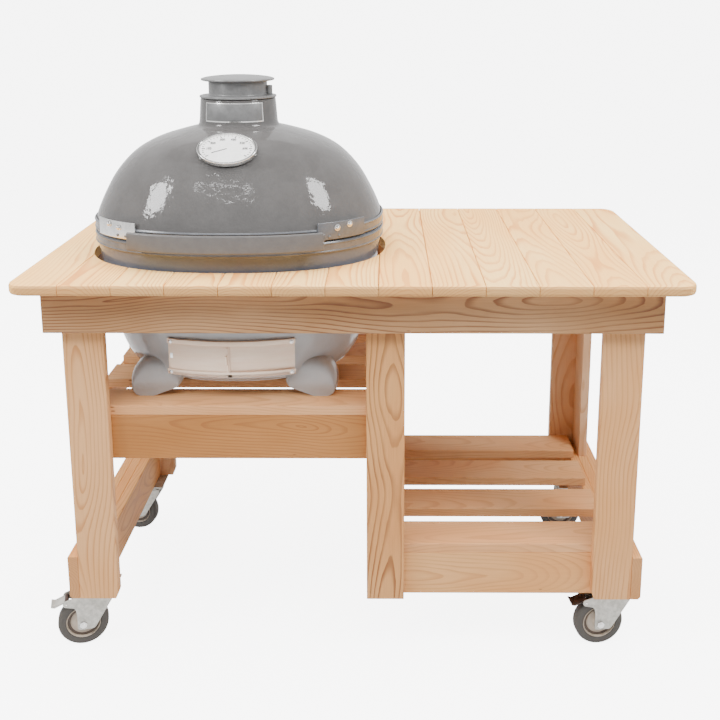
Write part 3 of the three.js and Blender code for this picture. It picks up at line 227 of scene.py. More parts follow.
def oval_points(r, z, a):
    """x = r |cos a|^k, y = r s |sin a|^k with their signs; s is depth over width and k = 2 / power."""
    s = 1 + (HALF_DEPTH / HALF_WIDTH - 1) * ovalness(r)
    k = 2 / (2 + SQUARENESS * ovalness(r))
    x = GRILL[0] + r * np.sign(np.cos(a)) * np.abs(np.cos(a)) ** k
    y = GRILL[1] + r * s * np.sign(np.sin(a)) * np.abs(np.sin(a)) ** k
    return np.stack([x + 0 * z, y + 0 * z, z + 0 * a], axis=-1)


def fine_ring(r, start, end):
    """Closely spaced angles and the points of the oval of half-width r at them, to read places from."""
    a = np.linspace(start, end, FINE_STEPS)
    return a, oval_points(np.full_like(a, r), 0 * a, a)


def even_angles(count):
    """Angles that space points evenly along the widest ring, which bends fastest near its ends."""
    a, ring = fine_ring(HALF_WIDTH, -np.pi, np.pi)
    run = np.concatenate([[0], np.cumsum(np.linalg.norm(np.diff(ring, axis=0), axis=1))])
    return np.interp(np.linspace(0, run[-1], count, endpoint=False), run, a)[None, :]


def oval(name, profile, segments):
    """A closed (r, z) profile carried round: each point draws the oval of half-width r at height z."""
    p = np.asarray(profile, float)
    points = oval_points(p[:, :1], p[:, 1:], even_angles(segments))
    return grid_piece(name, points, loop_rows=True, loop_columns=True)


print("the grill's widest ring:", 2 * HALF_WIDTH, "by", 2 * HALF_DEPTH, "m")

# %% [markdown]
# The camera stands in front, a little above the grill's lid. Its lens and place were worked out from the
# corners of the top, the legs and the shelves in the photograph. The lens is shifted down, as a view
# camera's, so that the uprights stay nearly upright.

# %% Camera
SENSOR_WIDTH, FOCAL_LENGTH = 36, 47.98
SHIFT_RIGHT, SHIFT_UP = -0.0311, -0.205
CAMERA_PLACE = (0.0743, -2.500, 1.5835)
YAW, PITCH, ROLL = -0.003, 0.2039, 0.0004


def look_axes(yaw, pitch, roll):
    """Right, up and forward of a camera that is turned by yaw, tipped down by pitch and rolled."""
    forward = Vector((math.sin(yaw) * math.cos(pitch), math.cos(yaw) * math.cos(pitch), -math.sin(pitch)))
    right = Vector((math.cos(yaw), -math.sin(yaw), 0))
    up = right.cross(forward)
    c, s = math.cos(roll), math.sin(roll)
    return right * c + up * s, up * c - right * s, forward


def make_camera():
    """A camera looks along its own -Z, so its columns are right, up and the way back."""
    lens = bpy.data.cameras.new("camera")
    lens.sensor_width, lens.lens = SENSOR_WIDTH, FOCAL_LENGTH
    lens.shift_x, lens.shift_y = SHIFT_RIGHT, SHIFT_UP
    lens.clip_end = 60
    camera = bpy.data.objects.new("camera", lens)
    bpy.context.scene.collection.objects.link(camera)
    right, up, forward = look_axes(YAW, PITCH, ROLL)
    turn = Matrix((right, up, -forward)).transposed().to_4x4()
    camera.matrix_world = Matrix.Translation(CAMERA_PLACE) @ turn
    bpy.context.scene.camera = camera


make_camera()
print("camera at", CAMERA_PLACE, "tipped down by", round(math.degrees(PITCH), 1), "degrees")

# %% [markdown]
# Materials are node trees. These helpers set a node's inputs by name and join sockets, so that a tree reads
# as a list of steps.

# %% Node helpers
def put(tree, kind, values=None, **settings):
    """Adds a node, sets its own settings, then its inputs: a socket is linked and a plain value is set."""
    node = tree.nodes.new(kind)
    for key, value in settings.items():
        setattr(node, key, value)
    for key, value in (values or {}).items():
        socket = node.inputs[key]
        if isinstance(value, bpy.types.NodeSocket):
            tree.links.new(value, socket)
        else:
            socket.default_value = value
    return node


def calc(tree, operation, a, b=0.0, c=0.0, clamp=False):
    """One Math node; MULTIPLY_ADD is a * b + c."""
    return put(tree, "ShaderNodeMath", {0: a, 1: b, 2: c}, operation=operation, use_clamp=clamp).outputs[0]


def step_between(tree, value, low, high, to_low=0.0, to_high=1.0):
    """A smooth step of value from low to high, turned into to_low ... to_high."""
    values = {"Value": value, "From Min": low, "From Max": high, "To Min": to_low, "To Max": to_high}
    return put(tree, "ShaderNodeMapRange", values, interpolation_type="SMOOTHSTEP").outputs["Result"]


def mixed(tree, factor, a, b, blend="MIX"):
    """Mixes two colours; sockets 6 and 7 of the Mix node are its colours and output 2 is the mixed one."""
    return put(tree, "ShaderNodeMix", {0: factor, 6: a, 7: b}, data_type="RGBA", blend_type=blend).outputs[2]


def noise(tree, vector, seed, scale, detail=2.0, roughness=0.5):
    """Four-dimensional noise, so that the seed moves through it without sliding the pattern."""
    values = {"Vector": vector, "W": seed, "Scale": scale, "Detail": detail, "Roughness": roughness}
    return put(tree, "ShaderNodeTexNoise", values, noise_dimensions="4D").outputs["Fac"]


print("helpers that add a node:", [helper.__name__ for helper in (put, calc, step_between, mixed, noise)])

# %% [markdown]
# Colours are chosen as they look on a screen and made linear, because light adds up in linear values. A
# material starts with one Principled BSDF, and what several materials share is a node group with named
# sockets.

# %% Colours, groups and materials
def colour(red, green, blue):
    """A colour given as it looks on a screen, 0 to 255, made linear as light is."""
    c = np.array([red, green, blue]) / 255
    linear = np.where(c <= 0.04045, c / 12.92, ((c + 0.055) / 1.055) ** 2.4)
    return (*[float(v) for v in linear], 1.0)


def new_group(name, inputs, outputs):
    """A shader node group with named sockets; kinds are Float, Vector and Color."""
    tree = bpy.data.node_groups.new(name, "ShaderNodeTree")
    for label, kind, value in inputs:
        socket = tree.interface.new_socket(label, in_out="INPUT", socket_type="NodeSocket" + kind)
        if value is not None:
            socket.default_value = value
    for label, kind in outputs:
        tree.interface.new_socket(label, in_out="OUTPUT", socket_type="NodeSocket" + kind)
    return tree, tree.nodes.new("NodeGroupInput").outputs, tree.nodes.new("NodeGroupOutput")


def new_material(name, **values):
    """A material with one Principled BSDF; values set its sockets, with _ for a blank in a socket's name."""
    material = bpy.data.materials.new(name)
    material.use_nodes = True
    tree = material.node_tree
    shader = tree.nodes["Principled BSDF"]
    for key, value in values.items():
        shader.inputs[key.replace("_", " ")].default_value = value
    return material, tree, shader


def place_in_space(tree):
    """Object coordinates and normals: every piece sits at the origin, so these are metres in the scene."""
    return put(tree, "ShaderNodeTexCoord").outputs


def scaled(tree, vector, scale):
    """The place with each axis times its share of scale, which stretches a pattern the other way."""
    return put(tree, "ShaderNodeMapping", {"Vector": vector, "Scale": scale}).outputs[0]


print("middle grey on a screen is", round(colour(128, 128, 128)[0], 3), "in linear light")

# %% [markdown]
# The boards are sawn from a softwood log. Its year rings are tubes round the pith, each with a pale, wide
# spring part that darkens slowly into a thin, hard summer line. A board cuts these tubes at a slant, and
# because the pith wanders as the tree grew, the lines close into flames along a flat-sawn face, run
# straight on a quarter-sawn one and bend as arcs on the end. One solid pattern in three directions gives
# all of these.

# %% Year lines and flecks
FLECK = colour(120, 74, 44)
END_GRAIN = colour(168, 122, 82)
PITH_ASIDE, PITH_BELOW = (0.11, -0.055), (-0.075, -0.030)
SWAY, DIVE, WAVER = (0.16, -0.08), (0.20, -0.10), (0.0046, -0.0023)
DARKENS, PALES = (0.50, 0.92), (0.94, 1.0)


def year_lines(tree, at, seed, spacing):
    """Distance from the wandering pith over the spacing counts the years; each year ends in a dark line."""
    axes = put(tree, "ShaderNodeSeparateXYZ", {0: at}).outputs
    random = put(tree, "ShaderNodeTexWhiteNoise", {"W": seed}, noise_dimensions="1D").outputs["Color"]
    chance = put(tree, "ShaderNodeSeparateColor", {0: random}).outputs
    slow = scaled(tree, at, (1.5, 3.0, 3.0))
    sway = noise(tree, slow, seed, 1.0, 1.5, 0.4)
    dive = noise(tree, slow, calc(tree, "ADD", seed, 31.7), 1.2, 1.5, 0.4)
    pith_across = calc(tree, "ADD", calc(tree, "MULTIPLY_ADD", chance[0], *PITH_ASIDE),
                       calc(tree, "MULTIPLY_ADD", sway, *SWAY))
    pith_depth = calc(tree, "ADD", calc(tree, "MULTIPLY_ADD", chance[1], *PITH_BELOW),
                      calc(tree, "MULTIPLY_ADD", dive, *DIVE))
    across = calc(tree, "SUBTRACT", axes["Y"], pith_across)
    depth = calc(tree, "SUBTRACT", axes["Z"], pith_depth)
    flat = put(tree, "ShaderNodeCombineXYZ", {"X": across, "Y": depth}).outputs[0]
    radius = put(tree, "ShaderNodeVectorMath", {0: flat}, operation="LENGTH").outputs["Value"]
    ripples = noise(tree, scaled(tree, at, (9.0, 55.0, 55.0)), seed, 1.0, 2.0, 0.5)
    wavering = calc(tree, "ADD", radius, calc(tree, "MULTIPLY_ADD", ripples, *WAVER))
    rings = calc(tree, "DIVIDE", wavering, spacing)
    year = calc(tree, "FRACT", calc(tree, "MULTIPLY_ADD", chance[2], 9.0, rings))
    summer = calc(tree, "MULTIPLY", step_between(tree, year, *DARKENS),
                  step_between(tree, year, *PALES, 1.0, 0.0))
    patchy = step_between(tree, noise(tree, slow, calc(tree, "ADD", seed, 5.1), 3.0), 0.3, 0.7, 0.45, 1.0)
    return slow, calc(tree, "MULTIPLY", summer, patchy)


def fleck_mask(tree, at):
    """A few cells of a stretched Voronoi pattern, chosen by their random colour, carry a short dark fleck."""
    values = {"Vector": scaled(tree, at, (7.0, 22.0, 22.0)), "Scale": 1.0}
    cells = put(tree, "ShaderNodeTexVoronoi", values).outputs
    random = put(tree, "ShaderNodeSeparateColor", {0: cells["Color"]}).outputs[0]
    chosen = calc(tree, "GREATER_THAN", random, 0.86)
    return calc(tree, "MULTIPLY", step_between(tree, cells["Distance"], 0.02, 0.055, 0.75, 0.0), chosen)


print("a year darkens from", DARKENS[0], "of its width and is darkest at", DARKENS[1])

# %% [markdown]
# The group mixes the pale tints, the lines, the fine fibres and the flecks into one colour. It also gives a
# height, as planed wood keeps a little relief along its lines, and a roughness that follows them.

# %% The grain group
def make_plank_grain():
    """Pale wood in two tints, dark year lines, fine fibres, flecks, and a darker tone on the ends."""
    tree, given, result = new_group(
        "plank_grain",
        [("Vector", "Vector", None), ("Seed", "Float", 0.0), ("End", "Float", 0.0),
         ("Spacing", "Float", 0.006), ("Boldness", "Float", 1.0), ("Light", "Color", (1, 1, 1, 1)),
         ("Warm", "Color", (1, 1, 1, 1)), ("Line", "Color", (1, 1, 1, 1))],
        [("Color", "Color"), ("Height", "Float"), ("Roughness", "Float")],
    )
    at, seed = given["Vector"], given["Seed"]
    slow, lines = year_lines(tree, at, seed, given["Spacing"])
    line = calc(tree, "MULTIPLY", lines, given["Boldness"], clamp=True)
    fibre = noise(tree, scaled(tree, at, (14.0, 420.0, 420.0)), seed, 1.0, 2.0, 0.6)
    tint = step_between(tree, noise(tree, slow, calc(tree, "ADD", seed, 11.3), 2.2), 0.30, 0.70)
    body = mixed(tree, tint, given["Light"], given["Warm"])
    grained = mixed(tree, line, body, given["Line"])
    streaked = mixed(tree, step_between(tree, fibre, 0.35, 0.75, 0.0, 0.16), grained, given["Line"])
    flecked = mixed(tree, fleck_mask(tree, at), streaked, FLECK)
    ended = mixed(tree, calc(tree, "MULTIPLY", given["End"], 0.55), flecked, END_GRAIN)
    tree.links.new(ended, result.inputs["Color"])
    height = calc(tree, "SUBTRACT", calc(tree, "MULTIPLY", fibre, 0.35), line)
    tree.links.new(height, result.inputs["Height"])
    tree.links.new(calc(tree, "MULTIPLY_ADD", line, -0.10, 0.62), result.inputs["Roughness"])
    return tree


plank_grain = make_plank_grain()
print("node group:", plank_grain.name, "with", len(plank_grain.nodes), "nodes")

# %% [markdown]
# Each board gets a material of its own around that group, because no two boards come from the same place in
# a log. The order of the letters says which axis the grain follows, which one crosses the board and which
# one goes through its thickness. On the ends, where the surface faces along the grain, the wood is darker.
# A palette is the light and the warm tint of the pale wood and the colour of its lines, as seen on a
# screen.

# %% Wood materials
TOP_WOOD = ((254, 209, 133), (252, 190, 108), (214, 130, 56))
POST_WOOD = ((226, 173, 119), (220, 159, 99), (179, 111, 55))
APRON_WOOD = ((197, 155, 112), (178, 132, 87), (116, 71, 40))
MIDDLE_WOOD = ((220, 165, 107), (208, 145, 86), (141, 86, 44))
# The beams' palette is a darker copy of the shelf's wood: painted shade on the grill shelf's beams.
BEAM_WOOD_PAINTED_SHADE = ((186, 128, 71), (171, 113, 57), (137, 80, 36))
SHELF_WOOD = ((229, 174, 115), (223, 157, 95), (184, 117, 61))
SLAT_WOOD = ((227, 177, 127), (221, 160, 106), (181, 118, 68))
# The back legs' palette is a paler copy of the legs' wood: painted light against the shade and warm bounce on
# them.
BACK_LEG_WOOD_PAINTED_LIGHT = ((236, 198, 158), (228, 182, 138), (190, 132, 86))


def wood_material(name, order, centre, seed, palette, spacing, boldness, counted=None, stretch=1.0):
    """The grain group about a board's centre; counted works out the seed of each board that a node holds."""
    material, tree, shader = new_material(name, Specular_IOR_Level=0.35)
    coordinates = place_in_space(tree)
    values = {0: coordinates["Object"], 1: centre}
    moved = put(tree, "ShaderNodeVectorMath", values, operation="SUBTRACT").outputs[0]
    axes = put(tree, "ShaderNodeSeparateXYZ", {0: moved}).outputs
    facing = put(tree, "ShaderNodeSeparateXYZ", {0: coordinates["Normal"]}).outputs
    along, across, through = (axes[letter.upper()] for letter in order)
    end = step_between(tree, calc(tree, "ABSOLUTE", facing[order[0].upper()]), 0.75, 0.95)
    if counted:
        across, seed = counted(tree, axes, across)
    along = calc(tree, "DIVIDE", along, stretch)
    at = put(tree, "ShaderNodeCombineXYZ", {"X": along, "Y": across, "Z": through}).outputs[0]
    light, warm, line = (colour(*shade) for shade in palette)
    values = {"Vector": at, "Seed": seed, "End": end, "Spacing": spacing, "Boldness": boldness,
              "Light": light, "Warm": warm, "Line": line}
    grain = put(tree, "ShaderNodeGroup", values, node_tree=plank_grain).outputs
    bump = put(tree, "ShaderNodeBump", {"Height": grain["Height"], "Strength": 0.25, "Distance": 0.0006})
    tree.links.new(grain["Color"], shader.inputs["Base Color"])
    tree.links.new(grain["Roughness"], shader.inputs["Roughness"])
    tree.links.new(bump.outputs[0], shader.inputs["Normal"])
    return material


def finish_node(node, material):
    """A CAD node keeps its mesh and gets a material."""
    mesh = frame["nodes"][node].data
    mesh.materials.clear()
    mesh.materials.append(material)


def wood(node, order, seed, palette, spacing, boldness):
    """A material of its own for one board, centred on the board's box."""
    low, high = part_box(node)
    centre = tuple((low[i] + high[i]) / 2 for i in range(3))
    finish_node(node, wood_material("wood_" + node, order, centre, seed, palette, spacing, boldness))


print("wood palettes of", len(TOP_WOOD), "colours, the top's first:", TOP_WOOD[0])

# %% [markdown]
# The top's boards lie side by side and run from front to back. The parted boards share two CAD nodes, so
# one material for the whole top counts the boards by their pitch: the whole part of x over the pitch is the
# board's number and seeds its grain, and the rest is the place across that board.

# %% Finish the wooden nodes
TOP_Z, TOP_LEFT, BOARD_PITCH, RAIL_BOARD = 0.990, -0.780, 0.120, 0.025


def by_board(tree, axes, across):
    """Board number and place across it, both from x over the pitch; across, the whole top's, is not used."""
    boards = calc(tree, "DIVIDE", calc(tree, "SUBTRACT", axes["X"], TOP_LEFT), BOARD_PITCH)
    number = calc(tree, "FLOOR", boards)
    inside = calc(tree, "MULTIPLY", calc(tree, "SUBTRACT", calc(tree, "FRACT", boards), 0.5), BOARD_PITCH)
    return inside, calc(tree, "MULTIPLY_ADD", number, 3.77, 2.0)


def by_layer(tree, axes, across):
    """A side rail is three boards thick, so x over a board's thickness tells the boards apart."""
    layer = calc(tree, "FLOOR", calc(tree, "DIVIDE", axes["X"], RAIL_BOARD))
    return across, calc(tree, "MULTIPLY_ADD", layer, 5.3, 41.0)


top_wood = wood_material("wood_top", "yxz", (0, 0, TOP_Z), 0, TOP_WOOD, 0.0064, 0.85, by_board, stretch=2.2)
whole_boards = ["top_board_%02d" % i for i in (1, 8, 9, 10, 11, 12, 13)]
for node in whole_boards + ["top_front_section", "top_back_section"]:
    finish_node(node, top_wood)
for node in ("side_rail_left", "side_rail_right"):
    low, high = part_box(node)
    outer_face = (low[0], (low[1] + high[1]) / 2, (low[2] + high[2]) / 2)
    finish_node(node, wood_material("wood_" + node, "yzx", outer_face, 0, SHELF_WOOD, 0.0065, 0.7, by_layer))

# names, the letters of the grain's order, first seed and its step, palette, ring spacing and boldness
BOARDS = (
    (("front_apron", "back_apron"), "xzy", 3.1, 5.3, APRON_WOOD, 0.0085, 1.0),
    (("left_apron", "right_apron"), "yzx", 12.9, 1.3, APRON_WOOD, 0.0080, 1.0),
    (("leg_front_left", "leg_front_right"), "zxy", 21.3, 3.1, POST_WOOD, 0.0090, 0.7),
    (("leg_back_left", "leg_back_right"), "zxy", 27.5, 3.1, BACK_LEG_WOOD_PAINTED_LIGHT, 0.0090, 0.7),
    (("centre_post_front", "centre_post_back"), "zxy", 37.7, 1.5, MIDDLE_WOOD, 0.0080, 1.0),
    (("grill_shelf_front_beam", "grill_shelf_back_beam"), "xzy", 51.9, 2.7, BEAM_WOOD_PAINTED_SHADE, 0.0070, 0.55),
    (("low_shelf_front_rail", "low_shelf_back_rail"), "xzy", 57.3, 2.7, SHELF_WOOD, 0.0070, 0.55),
    (("grill_shelf_left_cleat", "grill_shelf_centre_rail", "low_shelf_centre_rail"), "yzx", 63.3, 2.3,
     SHELF_WOOD, 0.0070, 0.6),
    (["grill_shelf_slat_%d" % i for i in range(1, 5)], "xyz", 71.5, 1.9, SLAT_WOOD, 0.0065, 0.5),
    (["low_shelf_slat_%d" % i for i in range(1, 5)], "xyz", 83.5, 1.7, SLAT_WOOD, 0.0065, 0.5),
)
for names, order, first_seed, step, palette, spacing, boldness in BOARDS:
    for number, node in enumerate(names):
        wood(node, order, first_seed + step * number, palette, spacing, boldness)
print("wood materials:", sum(m.name.startswith("wood_") for m in bpy.data.materials))

# %% [markdown]
# The grill's shells are ceramic under a thick glaze. Glaze flows as it melts, so it is glossy but not flat:
# it dimples like orange peel, and a lamp's reflection breaks into blotches and sparkles. Two noises, one
# wide and one fine, make that relief. The same relief and mottling serve the shells and, weaker, painted
# metal.

# %% Surface relief and mottling as node groups
def make_peel():
    """Height of a dimpled coat: a wide noise for the flow and a finer one for the dimples."""
    inputs = [("Vector", "Vector", None), ("Scale", "Float", 60.0)]
    tree, given, result = new_group("peel", inputs, [("Height", "Float")])
    wide = noise(tree, given["Vector"], 3.0, calc(tree, "MULTIPLY", given["Scale"], 0.45), 1.0)
    fine = noise(tree, given["Vector"], 7.0, given["Scale"], 2.0, 0.45)
    tree.links.new(calc(tree, "MULTIPLY_ADD", fine, 0.5, wide), result.inputs["Height"])
    return tree


def make_mottle():
    """A mask between 0 and 1 in soft clouds with finer grains in them."""
    inputs = [("Vector", "Vector", None), ("Scale", "Float", 30.0)]
    tree, given, result = new_group("mottle", inputs, [("Mask", "Float")])
    clouds = noise(tree, given["Vector"], 1.0, given["Scale"], 4.0, 0.65)
    tree.links.new(step_between(tree, clouds, 0.32, 0.68), result.inputs["Mask"])
    return tree


peel, mottle = make_peel(), make_mottle()
print("node groups:", [group.name for group in bpy.data.node_groups])

# %% [markdown]
# A real finish is never one flat tone. A coat takes a darker and a lighter colour, as seen on a screen, and
# a least and a greatest roughness, and the clouds of the mottle move it between them. The relief is the
# depth of the peel in metres, and the two scales say how fine the peel and the mottle are. The lid's and the
# bowl's glaze are lit and shaded copies of one glaze: the lid's is darker, as painted shade against the light
# from above, and the bowl's paler, as painted light for the shade under the table's top. Towards the rim,
# above the top, the bowl's glaze is darkened again to a bluish grey, as painted shade.

# %% Materials of the grill and the casters
# Heights and bluish grey of the painted shade on the bowl's rim above the table's top.
RIM_FROM, RIM_FULL, RIM_PAINTED_SHADE = 0.955, 0.992, colour(148, 155, 168)


def coated(name, dark, light, roughness, relief, peel_scale, mottle_scale, stretch=(1, 1, 1), **values):
    """A material whose colour and roughness vary with the mottle and whose relief is the peel."""
    material, tree, shader = new_material(name, **values)
    at = scaled(tree, place_in_space(tree)["Object"], stretch)
    cloud, dimples = (
        put(tree, "ShaderNodeGroup", {"Vector": at, "Scale": scale}, node_tree=group).outputs[0]
        for group, scale in ((mottle, mottle_scale), (peel, peel_scale))
    )
    tree.links.new(mixed(tree, cloud, colour(*dark), colour(*light)), shader.inputs["Base Color"])
    shine = calc(tree, "MULTIPLY_ADD", cloud, roughness[1] - roughness[0], roughness[0])
    tree.links.new(shine, shader.inputs["Roughness"])
    bump = put(tree, "ShaderNodeBump", {"Height": dimples, "Strength": 1.0, "Distance": relief})
    tree.links.new(bump.outputs[0], shader.inputs["Normal"])
    return material


def paint_shade_above(material, low, high, shade):
    """Multiplies the base colour by a shade over a smooth step of height, as painted shade."""
    tree = material.node_tree
    base = tree.nodes["Principled BSDF"].inputs["Base Color"]
    height = put(tree, "ShaderNodeSeparateXYZ", {0: place_in_space(tree)["Object"]}).outputs["Z"]
    mask = step_between(tree, height, low, high)
    tree.links.new(mixed(tree, mask, base.links[0].from_socket, shade, "MULTIPLY"), base)


# Lit and shaded copies of one glaze: the lid's darker as painted shade against the light from above, the
# bowl's paler as painted light for its shade under the table's top.
glaze = coated("glaze", (79, 77, 76), (86, 84, 83), (0.05, 0.09), 0.0007, 105, 14,
               IOR=1.55, Specular_IOR_Level=0.40)
bowl_glaze_painted_light = coated("bowl_glaze_painted_light", (182, 183, 184), (189, 190, 191), (0.08, 0.14), 0.0007, 105, 14,
                    IOR=1.55, Specular_IOR_Level=0.24)
# Painted shade: the bowl's rim above the table's top is darkened to a bluish grey.
paint_shade_above(bowl_glaze_painted_light, RIM_FROM, RIM_FULL, RIM_PAINTED_SHADE)
band_paint = coated("band_paint", (93, 95, 99), (103, 105, 109), (0.20, 0.27), 0.0002, 90, 40, Metallic=0.15)
handle_paint = coated("handle_paint", (92, 90, 89), (99, 97, 96), (0.30, 0.38), 0.0001, 120, 40, Metallic=0.1)
iron = coated("iron", (106, 106, 106), (118, 118, 118), (0.28, 0.40), 0.0003, 160, 50, Metallic=0.2)
grate_iron = coated("grate_iron", (52, 52, 52), (74, 73, 71), (0.5, 0.65), 0.0004, 300, 60, Metallic=0.3)
bright_steel = coated("bright_steel", (205, 204, 202), (224, 223, 221), (0.14, 0.24), 0.0001, 200, 60,
                      Metallic=1.0)
draft_steel = coated("draft_steel", (240, 210, 184), (248, 224, 202), (0.34, 0.46), 0.00012, 180, 24,
                     (0.3, 0.3, 3.0), Metallic=0.15)
zinc = coated("zinc", (168, 166, 159), (206, 204, 197), (0.36, 0.52), 0.0003, 180, 70, Metallic=0.45)
# Dark steel of the pedals' barrels and shoes and of the right tread: painted shade.
pedal_steel_painted_shade = coated("pedal_steel_painted_shade", (52, 41, 37), (84, 66, 58), (0.35, 0.5), 0.0003, 160, 60, Metallic=0.4)
tyre = coated("tyre", (66, 62, 58), (76, 72, 67), (0.55, 0.7), 0.0002, 260, 60)
rim_plastic = coated("rim_plastic", (176, 160, 142), (194, 180, 163), (0.4, 0.5), 0.0001, 200, 50)
rim_shadow = coated("rim_shadow", (74, 62, 52), (92, 78, 66), (0.5, 0.6), 0.0001, 200, 50)
felt = coated("felt", (70, 69, 68), (92, 91, 90), (0.9, 1.0), 0.0005, 500, 120)
dial_white = coated("dial_white", (226, 224, 221), (232, 231, 229), (0.25, 0.3), 0.00002, 100, 30)
dial_ink = coated("dial_ink", (70, 70, 72), (84, 84, 86), (0.4, 0.5), 0.00002, 100, 30)
print("materials:", len(bpy.data.materials))

# %% [markdown]
# The studio is a wide pale bowl: a floor that curves up far away, so that no edge shows behind the table.
# It glows to the camera and, weaker, in reflections. A large soft lamp above lights the table's top, and is
# kept out of reflections. Two soft lamps and a thin strip in front make the blotches and sparkles that show
# the glaze's shape.

# %% Floor and lights
FLAT_R, BEND_R, WALL_TOP = 7, 5, 14
CAMERA_GLOW, MIRRORED_GLOW, SKY_STRENGTH = 6.5, 1.2, 0.60


def make_stage():
    """A turned profile: flat to FLAT_R, then a quarter circle of BEND_R that rises to a wall."""
    bend = np.linspace(0, np.pi / 2, 16)
    curve = np.column_stack([FLAT_R + BEND_R * np.sin(bend), BEND_R - BEND_R * np.cos(bend)])
    floor = turned("studio_bowl", np.vstack([[0, 0], [3, 0], curve, [FLAT_R + BEND_R, WALL_TOP]]), 96)
    floor.data.shade_smooth()
    material, tree, shader = new_material("studio_white", Roughness=0.9, Specular_IOR_Level=0.1)
    clouds = noise(tree, place_in_space(tree)["Object"], 0.0, 0.4)
    shade = mixed(tree, clouds, colour(190, 190, 190), colour(194, 194, 194))
    tree.links.new(shade, shader.inputs["Base Color"])
    shader.inputs["Emission Color"].default_value = (1, 1, 1, 1)
    ray = put(tree, "ShaderNodeLightPath").outputs
    mirrored = calc(tree, "MULTIPLY", ray["Is Glossy Ray"], MIRRORED_GLOW)
    glow = calc(tree, "MULTIPLY_ADD", ray["Is Camera Ray"], CAMERA_GLOW, mirrored)
    tree.links.new(glow, shader.inputs["Emission Strength"])
    floor.data.materials.append(material)


def lamp(name, place, target, size, power, height=None):
    """A round soft box, or a strip where a height is given, that faces its target."""
    light = bpy.data.lights.new(name, "AREA")
    light.shape = "RECTANGLE" if height else "DISK"
    light.size = size
    light.size_y = height or size
    light.energy = power
    thing = bpy.data.objects.new(name, light)
    thing.location = place
    thing.rotation_mode = "QUATERNION"
    thing.rotation_quaternion = (Vector(target) - Vector(place)).to_track_quat("-Z", "Y")
    bpy.context.scene.collection.objects.link(thing)
    return thing


def make_sky():
    """An even white sky fills the shadows."""
    world = bpy.data.worlds.new("sky")
    world.use_nodes = True
    background = world.node_tree.nodes["Background"]
    background.inputs["Color"].default_value = (1, 1, 1, 1)
    background.inputs["Strength"].default_value = SKY_STRENGTH
    bpy.context.scene.world = world


make_stage()
make_sky()
lamp("lamp_left", (-2.65, -1.72, 2.60), (-0.45, -0.25, 1.17), 0.85, 52)
lamp("lamp_right", (2.11, -1.36, 2.90), (-0.10, -0.25, 1.17), 0.95, 55)
lamp("lamp_strip", (-0.83, -2.66, 2.95), (-0.30, -0.29, 1.19), 1.5, 4.5, height=0.03)
lamp("lamp_top", (-0.3, -0.6, 4.6), (0, 0, 0.9), 6.4, 710).visible_glossy = False
print("lamps:", [light.name for light in bpy.data.lights])

# %% [markdown]
# The lid is one fired shell: a dome that rises steeply from its rim, rounds over and runs into a short neck
# for the chimney. It could be sculpted, but its side view, measured on the photograph, says all of it, so
# that outline is drawn smoothly, offset inwards for the wall, and carried round as one closed loop.

# %% Lid shell
LID_RIM_Z, DOME_H, NECK_H, WALL, FLUE_R = 1.056, 0.252, 0.069, 0.024, 0.082
DOME_TOP = LID_RIM_Z + DOME_H
NECK_TOP = DOME_TOP + NECK_H
NECK_FOOT_R, NECK_TOP_R, NECK_EDGE = 0.0985, 0.095, 0.005
DOME_SHARES = np.array([[1, 0.095], [0.985, 0.165], [0.955, 0.27], [0.912, 0.395], [0.858, 0.53],
                        [0.786, 0.66], [0.707, 0.765], [0.62, 0.842], [0.525, 0.9], [0.415, 0.948],
                        [0.345, 0.975]])


def rounding(centre, start, end, radius, steps=5):
    """An arc: centre + radius (cos a, sin a) from one angle to the other."""
    a = np.linspace(start, end, steps)
    return np.column_stack([centre[0] + radius * np.cos(a), centre[1] + radius * np.sin(a)])


def lid_outside():
    """The dome through its measured shares of half-width and height, then the neck with its fillet."""
    dome_points = DOME_SHARES * [HALF_WIDTH, DOME_H] + [0, LID_RIM_Z]
    dome = curve_through(dome_points, 7)
    side = [[HALF_WIDTH, LID_RIM_Z + 0.002], [HALF_WIDTH, LID_RIM_Z + 0.012]]
    fillet = curve_through([dome_points[-1], [0.1065, DOME_TOP - 0.0015], [0.1005, DOME_TOP + 0.005],
                            [NECK_FOOT_R, DOME_TOP + 0.016]], 5)
    neck = np.array([[0.0965, DOME_TOP + 0.045], [NECK_TOP_R, NECK_TOP - NECK_EDGE]])
    top = rounding((NECK_TOP_R - NECK_EDGE, NECK_TOP - NECK_EDGE), 0, np.pi / 2, NECK_EDGE)
    return np.vstack([side, dome[:-1], fillet, neck, top])


def offset_inwards(profile, distance):
    """Each point moves along the profile's left normal, which turns towards the middle on the way up."""
    along = np.gradient(profile, axis=0)
    normal = np.column_stack([-along[:, 1], along[:, 0]]) / np.linalg.norm(along, axis=1)[:, None]
    return profile + normal * distance


def lid_profile():
    """Up the outside, down the flue, down the inside of the dome and across the rim, as one closed loop."""
    outside = lid_outside()
    inside = offset_inwards(outside[2:-8], WALL)
    inside = inside[(inside[:, 0] > FLUE_R + 0.012) & (inside[:, 1] > LID_RIM_Z + 0.012)]
    inside = inside[np.argsort(inside[:, 1])][::-1]
    flue = [[FLUE_R + 0.003, NECK_TOP], [FLUE_R, NECK_TOP - 0.003], [FLUE_R, inside[0, 1] + 0.010],
            [FLUE_R + 0.003, inside[0, 1] + 0.003]]
    rim = [[HALF_WIDTH - WALL, LID_RIM_Z + 0.003], [HALF_WIDTH - WALL + 0.003, LID_RIM_Z],
           [HALF_WIDTH - 0.002, LID_RIM_Z]]
    return np.vstack([outside, flue, inside, rim])


lid = oval("lid_shell", lid_profile(), 200)
finished(lid, "grill_lid", glaze, "grill_glaze", ["grill_lid"], angle=50)
print("lid faces:", len(lid.data.polygons), "box:", [round(v, 3) for v in lid.dimensions])

